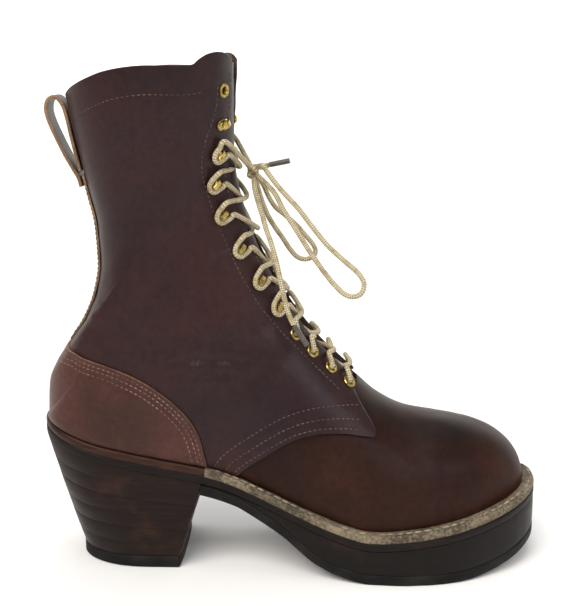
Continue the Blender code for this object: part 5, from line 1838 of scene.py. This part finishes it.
@dataclass
class Fasteners:
    """The brass eyelets and lacing hooks on both facings."""

    finishes: Finishes
    hole: float = 0.0023
    eyelet_profile: tuple[tuple[float, float], ...] = (
        (2.20, -3.60), (2.20, 0.00), (3.90, 0.05), (4.05, 0.45), (3.70, 0.90), (3.05, 1.05),
        (2.40, 0.80), (1.95, 0.10), (1.85, -3.60),
    )
    hook_path: tuple[tuple[float, float, float], ...] = (
        (3.60, 0.45, 1.30), (2.20, 0.45, 2.50), (0.20, 0.45, 3.00), (-1.80, 0.45, 2.60),
        (-3.10, 0.75, 2.00), (-3.80, 1.70, 1.75), (-3.85, 2.80, 1.70), (-3.20, 3.80, 1.50),
        (-1.80, 4.40, 1.40), (-0.30, 4.50, 1.40), (1.00, 4.20, 1.35), (2.00, 4.25, 1.05),
        (2.60, 4.55, 0.60),
    )
    hook_wall: float = 0.00075
    sides: int = 18

    def stations(self, kind: str, skins: dict[Side, Skins] | None = None) -> list[Station]:
        """The stations of one kind on both facings, set on the skins where they are given.

        Args:
            kind: eyelet or hook.
            skins: the quarters' outer faces, or None for the bare form.

        Returns:
            The stations, the outer side's first.
        """
        made = []
        for side in Side:
            for fastener in FASTENERS:
                if fastener.kind == kind:
                    made.append(self.seated(LAST.facing(fastener.height, side), skins and skins[side]))
        return made

    def seated(self, station: Station, skins: Skins | None) -> Station:
        """A station moved onto the leather that is there.

        Args:
            station: a place beside the throat.
            skins: that side's outer face, or None for the bare form.

        Returns:
            The station.
        """
        if skins is None:
            return station
        place, _ = skins.nearest(station.place, station.outward)
        return station._replace(place=place)

    def eyelet(self) -> bpy.types.Object:
        """One rolled eyelet round the Z axis, its barrel below 0.

        Returns:
            The object.
        """
        profile = np.array(self.eyelet_profile) * MM
        turns = 2 * math.pi * np.arange(self.sides) / self.sides
        rings = [[(r * math.cos(t), r * math.sin(t), z) for r, z in profile] for t in turns]
        faces = ring_faces(self.sides, len(profile), closed=True)
        mesh = closed_mesh("eyelet_form", np.array(rings).reshape(-1, 3), faces, [0] * len(faces))
        return add_object("eyelet_form", mesh)

    def hook(self) -> bpy.types.Object:
        """One lacing hook on the XY plane, its neck on the +Y side and its rivet's dome in the middle.

        Returns:
            The object.
        """
        path = spline(np.array(self.hook_path) * MM, 0.0007)
        ahead = unit(np.gradient(path[:, :2], axis=0))
        normal = np.stack([-ahead[:, 1], ahead[:, 0]], axis=1)
        wall = self.hook_wall / 2
        section = [(1.0, 0.0), (0.84, 1.0), (-0.84, 1.0), (-1.0, 0.0), (-0.84, -1.0), (0.84, -1.0)]
        rings = []
        for (away, out, half), (turn_away, turn_out) in zip(path, normal):
            ring = []
            for wide, thick in section:
                lift = thick * wall
                ring.append((wide * half, -(away + turn_away * lift), out + turn_out * lift))
            rings.append(ring)
        hook = ring_solid("hook_form", np.array(rings))
        work = bmesh.new()
        work.from_mesh(hook.data)
        dome = bmesh.ops.create_uvsphere(work, u_segments=12, v_segments=8, radius=0.0017)
        bmesh.ops.scale(work, verts=dome["verts"], vec=(1.0, 1.0, 0.55))
        bmesh.ops.translate(work, verts=dome["verts"], vec=(0.0, 0.0, 0.0008))
        work.to_mesh(hook.data)
        work.free()
        shaded(hook.data)
        return hook

    def build(self, skins: dict[Side, Skins]) -> None:
        """Sets every eyelet and hook.

        Args:
            skins: the outer faces of the quarters.
        """
        for kind, make in (("eyelet", self.eyelet), ("hook", self.hook)):
            form = make()
            frames = [
                station._replace(down=station.down * (1 if station.place[1] < -0.0027 else -1))
                for station in self.stations(kind, skins)
            ]
            nodes = [
                f"{kind}_{side.name.lower()}_{number}"
                for side in Side
                for number, fastener in enumerate(FASTENERS, start=1)
                if fastener.kind == kind
            ]
            Scatter(Pattern.COPY, self.finishes.brass).build(
                f"brass_{kind}s", frames, "brass_hardware", nodes, Piece=form
            )
            discard(form)


@dataclass
class Lacing:
    """One braided lace: through the eyelets, round the hooks, and tied in a bow."""

    finishes: Finishes
    laced_from: int = 2
    crossing_depth: float = 0.0029
    hook_share: float = 0.5
    eyelet_share: float = 0.6
    plait: float = 0.0026
    sides: int = 12
    # The lace's places at a hook and at an eyelet from the top down: away, down and outward, in mm
    at_hook: tuple[tuple[float, float, float], ...] = (
        (-8.0, -3.4, 3.4), (-2.6, -3.7, 2.5), (0.0, -3.5, 2.3), (2.6, -2.3, 2.3), (3.6, 0.0, 2.3),
        (2.6, 2.4, 2.3), (0.0, 3.5, 2.2), (-3.0, 4.4, 2.0), (-6.2, 5.6, 2.2),
    )
    at_eyelet: tuple[tuple[float, float, float], ...] = (
        (-6.6, -4.6, 3.2), (-2.2, -2.4, 3.1), (-0.5, -0.7, 2.0), (-0.1, -0.1, 1.4), (0.0, 0.0, -1.6),
        (-0.6, 0.4, -4.2), (-3.4, 1.8, -5.4),
    )

    def tube(self, name: str, route: np.ndarray, diameter: float) -> bpy.types.Object:
        """A round cord along a route, its UV map round it and along it.

        Args:
            name: the piece's name.
            route: the places of its middle line.
            diameter: its thickness.

        Returns:
            The object.
        """
        ahead = unit(np.gradient(route, axis=0))
        side = unit(np.cross(ahead[0], [0.0, 0.0, 1.0] if abs(ahead[0][2]) < 0.9 else [1.0, 0.0, 0.0]))
        turns = 2 * math.pi * np.arange(self.sides) / self.sides
        points = []
        for place, way in zip(route, ahead):
            side = unit(side - way * (side @ way))
            up = np.cross(way, side)
            around = np.outer(np.cos(turns), side) + np.outer(np.sin(turns), up)
            points.append(place + around * diameter / 2)
        count, each = len(route), self.sides
        gone = np.cumsum(np.linalg.norm(np.diff(route, axis=0), axis=1))
        lengths = np.concatenate([[0], gone]) / self.plait
        uvs = [[(0.5, 0.0)] * each, [(0.5, lengths[-1])] * each]
        for r in range(count - 1):
            start, end = lengths[r], lengths[r + 1]
            for i in range(each):
                low, high = i / each, (i + 1) / each
                uvs.append([(low, start), (high, start), (high, end), (low, end)])
        mesh = bpy.data.meshes.new(name)
        mesh.from_pydata([tuple(p) for p in np.concatenate(points)], [], ring_faces(count, each))
        layer = mesh.uv_layers.new(name="braid")
        layer.data.foreach_set("uv", np.array([uv for face in uvs for uv in face], float).ravel())
        return add_object(name, shaded(mesh))

    def local(self, station: Station, offsets: Sequence[Sequence[float]]) -> list[np.ndarray]:
        """Places given by their away, down and outward distances from a station, in mm.

        Args:
            station: a place beside the throat.
            offsets: away, down and outward distances in mm.

        Returns:
            The places.
        """
        return [
            station.place + (station.away * a + station.down * d + station.outward * o) * MM
            for a, d, o in offsets
        ]

    def strand(self, stations: Sequence[Station], kinds: Sequence[str], depth: float) -> list[np.ndarray]:
        """One strand from the top down, round or through each station in turn.

        Args:
            stations: where the lace goes, from the top down.
            kinds: what is set at each station.
            depth: how far behind the ridge the lace crosses.

        Returns:
            The strand's places.
        """
        route: list[np.ndarray] = []
        for i, (station, kind) in enumerate(zip(stations, kinds)):
            route += self.local(station, self.at_hook if kind == "hook" else self.at_eyelet)
            if i + 1 < len(stations):
                below = stations[i + 1].place[2]
                share = self.hook_share if kinds[i + 1] == "hook" else self.eyelet_share
                middle = below + (station.place[2] - below) * share
                place, outward = LAST.ridge((middle - LAST.ball_stack) / LAST.shaft)
                route.append(place - outward * depth)
        return route

    def build_run(self, skins: dict[Side, Skins], fasteners: Fasteners) -> None:
        """The lace between the knot's two sides, down one way and up the other.

        Args:
            skins: the outer faces of the quarters.
            fasteners: the eyelets and hooks.
        """
        used = FASTENERS[self.laced_from :]
        kinds = [fastener.kind for fastener in used]
        knot = LAST.place(KNOT_CENTRE)
        halves = []
        for first, depth in ((1, self.crossing_depth), (0, self.crossing_depth - LACE - 2 * LAST.gap)):
            stations = []
            for i, fastener in enumerate(used):
                side = Side.INNER if (i + first) % 2 else Side.OUTER
                stations.append(fasteners.seated(LAST.facing(fastener.height, side), skins[side]))
            halves.append(self.strand(stations, kinds, depth))
        low, outward = LAST.ridge(used[-1].height - 0.012)
        bar = low - outward * 0.0062
        route = [knot, *halves[0], bar, *reversed(halves[1]), knot]
        run = self.tube("lace_run", spline(route, 0.0010), LACE)
        dress(run, [self.finishes.lace], "lace_cord", "lace_crossings")

    def exit(self, toward: Sequence[float]) -> np.ndarray:
        """The place just off the knot in the direction of another place.

        Args:
            toward: the other place, from the heel's back.

        Returns:
            The place, from the heel's back.
        """
        way = np.array(toward) - np.array(KNOT_CENTRE)
        reach = 1 / math.sqrt(float(np.sum((way / np.array(KNOT_RADII)) ** 2)))
        return np.array(KNOT_CENTRE) + way * reach + unit(way) * KNOT_CLEARANCE

    def build_knot(self) -> bpy.types.Object:
        """The bow's knot: the lace wound over and under itself.

        Returns:
            The piece.
        """
        turns = np.linspace(0, 2 * math.pi, 97)
        across = np.sin(turns) + 2 * np.sin(2 * turns)
        up = np.cos(turns) - 2 * np.cos(2 * turns)
        curve = np.stack([-np.sin(3 * turns), across, up], axis=1)
        reach = (np.array(KNOT_RADII) - LACE / 2) / np.array([1.0, 2.9, 3.0])
        route = LAST.place(np.array(KNOT_CENTRE) + curve * reach)
        knot = self.tube("lace_knot_turns", route[:-2], LACE)
        return dress(knot, [self.finishes.lace], "lace_cord", "lace_knot")

    def build_bow(self) -> None:
        """The knot, the loops and the tipped ends."""
        knot = self.build_knot()
        pieces = {}
        for name, points, returns in (
            ("bow_loop_outer", BOW_LOOP_OUTER, True),
            ("bow_loop_inner", BOW_LOOP_INNER, True),
            ("lace_end_long", LACE_END_LONG, False),
            ("lace_end_short", LACE_END_SHORT, False),
        ):
            places = [self.exit(points[0]), *points] + ([self.exit(points[-1])] if returns else [])
            route = LAST.place(spline(places, 0.0010))
            piece = self.tube(f"{name}_braid", route, LACE)
            pieces[name] = (dress(piece, [self.finishes.lace], "lace_cord", name), route)
        tips = {}
        for name, points in (("lace_tip_long", LACE_TIP_LONG), ("lace_tip_short", LACE_TIP_SHORT)):
            tip = self.tube(f"{name}_film", LAST.place(spline(points, 0.0010)), AGLET)
            tips[name] = dress(tip, [self.finishes.lace_tip], "lace_cord", name)
        short = pieces["lace_end_short"][0]
        for name, end, carried in (
            ("bow_loop_outer", "knot", [knot, short, tips["lace_tip_short"]]),
            ("bow_loop_inner", "knot", []),
            ("lace_end_long", "fitting", [tips["lace_tip_long"]]),
        ):
            piece, route = pieces[name]


@dataclass
class Sole:
    """The platform sole, its welt and its rand, and the stacked heel."""

    finishes: Finishes
    breast: float = 0.100
    lifts: int = 6
    top_lift: float = 0.007
    heel_bottom_width: float = 0.062
    heel_top_width: float = 0.068
    rounding: float = 0.00040
    welt_stitch: float = 0.0054

    def plate(
        self,
        name: str,
        start: float,
        under: Callable[[np.ndarray], np.ndarray],
        top: Callable[[np.ndarray], np.ndarray],
    ) -> bpy.types.Object:
        """One layer of the sole with softly worn edges.

        Args:
            name: the piece's name.
            start: where it starts, from the heel's back.
            under: the height of its lower face at x.
            top: the height of its upper face at x.

        Returns:
            The object.
        """
        shares = eased(0, 1, 170) if start == 0 else np.sin(np.linspace(0, math.pi / 2, 130))
        levels = [(0.0, 1.0), (0.10, 0.30), (0.25, 0.0), (0.5, -0.1), (0.75, 0.0), (0.90, 0.30), (1.0, 1.0)]
        sides = []
        for side, order in ((-1, levels), (1, levels[::-1])):
            for level, round_share in order:
                inset = max(round_share, 0.0) * self.rounding
                first = inset if start == 0 else start
                x = first + (LAST.length - inset - first) * shares
                centre, half = LAST.plan(x, inset, inset)
                z = under(x) + level * (top(x) - under(x))
                line = np.stack([x, centre + side * half, z], axis=1)
                worn = 0.00022 * sample_noise(line, 0.011, 5.0 + side)
                worn = worn + 0.0001 * sample_noise(line, 0.003, 2.0)
                line[:, 1] -= side * np.abs(worn) * np.clip(half / 0.01, 0, 1)
                sides.append(line)
        return ring_solid(name, LAST.place(np.stack(sides, axis=1)))

    def edge_line(self, start: float, toe: bool, step: float = 0.0011) -> tuple[np.ndarray, np.ndarray]:
        """Matching places on the sole's outline and the upper's foot, from the outer to the inner side.

        Args:
            start: where the strip starts, from the heel's back.
            toe: True round the toe, and False round the heel.
            step: the distance between the places.

        Returns:
            The outer places and the inner places in x and y.
        """
        end = LAST.length if toe else 0.0
        wall = LAST.gap + QUARTER_WALL + LINED_WALL
        insets = (LAST.heel_inset + wall, LAST.toe_inset + wall)
        inner_end = end - insets[1] if toe else end + insets[0]
        outer, inner = [], []
        dense = start + (end - start) * np.sin(np.linspace(0, math.pi / 2, 1500))
        for side in (-1, 1):
            centre, half = LAST.plan(dense, 0.0, 0.0)
            line = evenly(np.stack([dense, centre + side * half], axis=1), step)
            share = (line[:, 0] - start) / (end - start)
            inner_x = line[:, 0] + (inner_end - end) * share**4
            inner_centre, inner_half = LAST.plan(inner_x, *insets)
            matched = np.stack([inner_x, inner_centre + side * inner_half], axis=1)
            if side > 0:
                line, matched = line[-2::-1], matched[-2::-1]
            outer.append(line)
            inner.append(matched)
        return np.concatenate(outer), np.concatenate(inner)

    def strip(self, name: str, start: float, toe: bool, fray: float) -> bpy.types.Object:
        """A strip on the sole's edge, with a frayed, rounded outer face.

        Args:
            name: the piece's name.
            start: where it starts, from the heel's back.
            toe: True round the toe, and False round the heel.
            fray: how far its fibres stand out or in.

        Returns:
            The object.
        """
        outer, inner = self.edge_line(start, toe)
        away = unit(outer - inner)
        lines = []
        for out, level in WELT_PROFILE:
            flat = outer + away * (out - 0.45) * MM
            under = LAST.sole_top(outer[:, 0]) - LAST.welt_thickness
            z = under + level * LAST.welt_thickness
            line = np.column_stack([flat, z])
            rough = sample_noise(line, 0.0021, 1.3) + 0.7 * sample_noise(line, 0.0009, 6.1)
            soft = 1.0 if 0.2 < level else 0.3
            line[:, :2] -= away * (fray * soft * np.abs(rough))[:, None]
            line[:, 2] += 0.5 * fray * rough * (level > 0.9)
            lines.append(line)
        top = LAST.sole_top(inner[:, 0])
        lines[-1][:, :2] = inner
        lines[-1][:, 2] = top
        lines.append(np.column_stack([inner, top - LAST.welt_thickness]))
        return ring_solid(name, LAST.place(np.stack(lines, axis=1)))

    def welt_frames(self) -> list[Station]:
        """Frames of the thread on the welt's upper face.

        Returns:
            The frames.
        """
        outer, inner = self.edge_line(self.breast + 0.003, True)
        away = unit(outer - inner)
        line = outer - away * 0.0026
        places = LAST.place(np.column_stack([line, LAST.sole_top(outer[:, 0]) + 0.00045]))
        even = evenly(places, self.welt_stitch)
        frames = []
        for i in range(1, len(even) - 1):
            ahead = unit(even[i + 1] - even[i - 1])
            up = unit(np.array([0.0, 0.0, 1.0]) - ahead * ahead[2])
            frames.append(Station(even[i], up, np.cross(up, ahead), ahead))
        return frames

    def heel_ring(self, level: float, inset: float) -> np.ndarray:
        """The heel's outline at a level, 0 on the top lift and 1 on the heel seat.

        Args:
            level: 0 on the top lift and 1 on the heel seat.
            inset: how far the outline moves in.

        Returns:
            The outline's points, once round.
        """
        back = LAST.heel_bottom_back * (1 - level) + inset
        breast = LAST.heel_bottom_breast + (self.breast - LAST.heel_bottom_breast) * level - inset
        wide = self.heel_bottom_width + (self.heel_top_width - self.heel_bottom_width) * level
        half_width = wide / 2 - inset
        x = eased(back, breast, 56)
        half = half_width * rounded((x - back) / (LAST.heel_round * LAST.length), LAST.heel_power)
        half = half * rounded((breast - x) / 0.0016, 2.0)
        low = self.top_lift + LAST.gap
        z = low + level * (LAST.midsole_under(x) - LAST.gap - low)
        outer = np.stack([x, -half, z], axis=1)
        inner = np.stack([x, half, z], axis=1)
        return np.concatenate([outer, inner[-2:0:-1]])

    def build_heel(self) -> None:
        """The lifts, each a little proud or shy of the next, and the rubber top lift."""
        pieces = []
        shifts = (0.00005, -0.00006, 0.00003, -0.00004, 0.00006, 0.0)
        for lift in range(self.lifts):
            rings = []
            for share, inset in LIFT_PROFILE:
                ring = self.heel_ring((lift + share) / self.lifts, inset + 0.0001 + shifts[lift])
                worn = 0.0002 * sample_noise(ring, 0.012, 8.0) + 0.00008 * sample_noise(ring, 0.003, 4.0)
                ring[:, 1] *= 1 - np.abs(worn) / 0.031
                rings.append(ring)
            pieces.append(ring_solid(f"lift_{lift}", LAST.place(rings)))
        nodes = [f"heel_lift_{lift + 1}" for lift in range(self.lifts)]
        dress(joined("stacked_heel", pieces), [self.finishes.heel_edge], "sole_edge", *nodes)
        rings = []
        for z, inset in ((0.0, 0.0006), (0.0006, 0.0), (0.0064, 0.0), (self.top_lift, 0.0004)):
            ring = self.heel_ring(0.0, inset)
            ring[:, 2] = z
            rings.append(ring)
        cap = ring_solid("heel_top_piece", LAST.place(rings))
        dress(cap, [self.finishes.rubber], "heel_rubber", "top_lift")

    def build(self) -> None:
        """Builds the sole from the midsole down, the strips round it and the heel."""
        midsole = self.plate("midsole_leather", 0.0, LAST.midsole_under, LAST.midsole_top)
        dress(midsole, [self.finishes.sole_edge], "sole_edge", "midsole")
        outsole = self.plate("outsole_rubber", self.breast - 0.0028, LAST.sole_under, LAST.outsole_top)
        dress(outsole, [self.finishes.rubber], "heel_rubber", "outsole")
        platform = self.plate("platform_leather", self.wedge(), self.platform_under, self.platform_top)
        dress(platform, [self.finishes.sole_edge], "sole_edge", "platform")
        welt = self.strip("stitched_welt", self.breast, True, 0.00030)
        dress(welt, [self.finishes.welt], "welt_leather", "welt")
        rand = self.strip("heel_seat_rand", self.breast - LAST.gap, False, 0.00006)
        dress(rand, [self.finishes.rand], "welt_leather", "heel_rand")
        Scatter(Pattern.STITCH, self.finishes.welt_thread, seed=3, jitter=0.16).build(
            "welt_stitches", self.welt_frames(), "welt_leather", Length=0.0047, Width=0.0013, Height=0.0010
        )
        self.build_heel()

    def platform_under(self, x: np.ndarray) -> np.ndarray:
        """The height of the platform's lower face."""
        return LAST.outsole_top(x) + LAST.gap

    def platform_top(self, x: np.ndarray) -> np.ndarray:
        """The height of the platform's upper face."""
        return LAST.midsole_under(x) - LAST.gap

    def wedge(self) -> float:
        """Where the platform becomes thick enough to be a piece, from the heel's back."""
        x = np.arange(self.breast, LAST.length, MM)
        return float(x[np.argmax(self.platform_top(x) - self.platform_under(x) > 0.0002)])


@dataclass
class Studio:
    """The floor, the light and the camera."""

    floor: str = "f4f3f1"
    below: float = 0.0002
    reach: float = 3.0
    bend: float = 1.2
    wall: float = 2.6
    sides: int = 64

    def area_light(
        self, name: str, place: Sequence[float], size: float, power: float, colour: str = "ffffff"
    ) -> None:
        """A square soft light that points at the boot.

        Args:
            name: the light's name.
            place: where it hangs.
            size: its width.
            power: in watts.
            colour: its hex colour.
        """
        data = bpy.data.lights.new(name, "AREA")
        data.energy = power
        data.size = size
        data.color = linear(colour)[:3]
        light = bpy.data.objects.new(name, data)
        light.location = place
        aim = Vector(BOOT_MIDDLE) - Vector(place)
        light.rotation_euler = aim.to_track_quat("-Z", "Y").to_euler()
        bpy.context.scene.collection.objects.link(light)

    def sun(self, strength: float) -> None:
        """One broad light over the camera's left shoulder, which lights floor and paper alike.

        Args:
            strength: in watts a square metre.
        """
        data = bpy.data.lights.new("softbox", "SUN")
        data.energy = strength
        data.angle = math.radians(50)
        data.color = linear("fffaf4")[:3]
        light = bpy.data.objects.new("softbox", data)
        light.rotation_euler = Vector((0.42, 0.75, -0.80)).to_track_quat("-Z", "Y").to_euler()
        bpy.context.scene.collection.objects.link(light)

    def build(self) -> None:
        """Sets the stage: white paper that sweeps up all round, a soft light and a dim room."""
        bends = np.linspace(0, 0.5 * math.pi, 9)[1:]
        radii = [0.5, 1.5, self.reach, *(self.reach + self.bend * np.sin(bends)), self.reach + self.bend]
        heights = [0.0, 0.0, 0.0, *(self.bend - self.bend * np.cos(bends)), self.wall]
        count = self.sides
        turns = 2 * math.pi * np.arange(count) / count
        points = [(0.0, 0.0, -self.below)]
        for radius, height in zip(radii, heights):
            points += [(radius * math.cos(t), radius * math.sin(t), height - self.below) for t in turns]
        faces: list[tuple] = [(0, 1 + i, 1 + (i + 1) % count) for i in range(count)]
        faces += [tuple(1 + i for i in reversed(face)) for face in ring_faces(len(radii), count)[2:]]
        mesh = bpy.data.meshes.new("floor")
        mesh.from_pydata(points, [], faces)
        mesh.shade_smooth()
        floor = add_object("floor", mesh)
        paper, _, shader = bare_material("white_background_paper")
        shader.inputs["Base Color"].default_value = linear(self.floor)
        shader.inputs["Roughness"].default_value = 0.9
        mesh.materials.append(paper)
        world = bpy.data.worlds.new("studio")
        world.use_nodes = True
        room = world.node_tree.nodes["Background"]
        room.inputs["Color"].default_value = linear("f2f4f8")
        room.inputs["Strength"].default_value = 0.5
        bpy.context.scene.world = world
        bpy.context.scene.view_settings.view_transform = "Standard"
        self.sun(3.4)
        self.area_light("window", (0.75, -0.75, 0.70), 0.40, 2.0, "eef2ff")
        self.area_light("top", (0.10, 0.20, 1.30), 0.90, 5.0)
        self.place_camera()

    def place_camera(self) -> None:
        """The camera at the photograph's place and angle, aimed so that the whole boot is in view."""
        data = bpy.data.cameras.new("camera")
        data.lens = LENS
        data.sensor_width = SENSOR
        data.shift_y = SHIFT_Y
        data.clip_start = 0.01
        camera = bpy.data.objects.new("camera", data)
        camera.location = CAMERA_PLACE
        camera.rotation_euler = (math.radians(90 - CAMERA_PITCH), 0.0, math.radians(CAMERA_YAW))
        bpy.context.scene.collection.objects.link(camera)
        bpy.context.scene.camera = camera


def main() -> None:
    """Builds the boot's parts in order."""
    logging.basicConfig(level=logging.INFO, format="%(name)s %(message)s")
    Studio().build()
    finishes = Finishes()
    fasteners = Fasteners(finishes)
    upper = Upper(finishes)
    upper.build(fasteners)
    skins = {side: Skins(upper.built[f"quarter_{side.name.lower()}"]) for side in Side}
    lacing = Lacing(finishes)
    lacing.build_bow()
    lacing.build_run(skins, fasteners)
    fasteners.build(skins)
    upper.stitch()
    Sole(finishes).build()
    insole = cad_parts["insole"]
    insole.data.materials.clear()
    insole.data.materials.append(finishes.insole)
    LOG.info("insole: dressed")


if __name__ == "__main__":
    main()
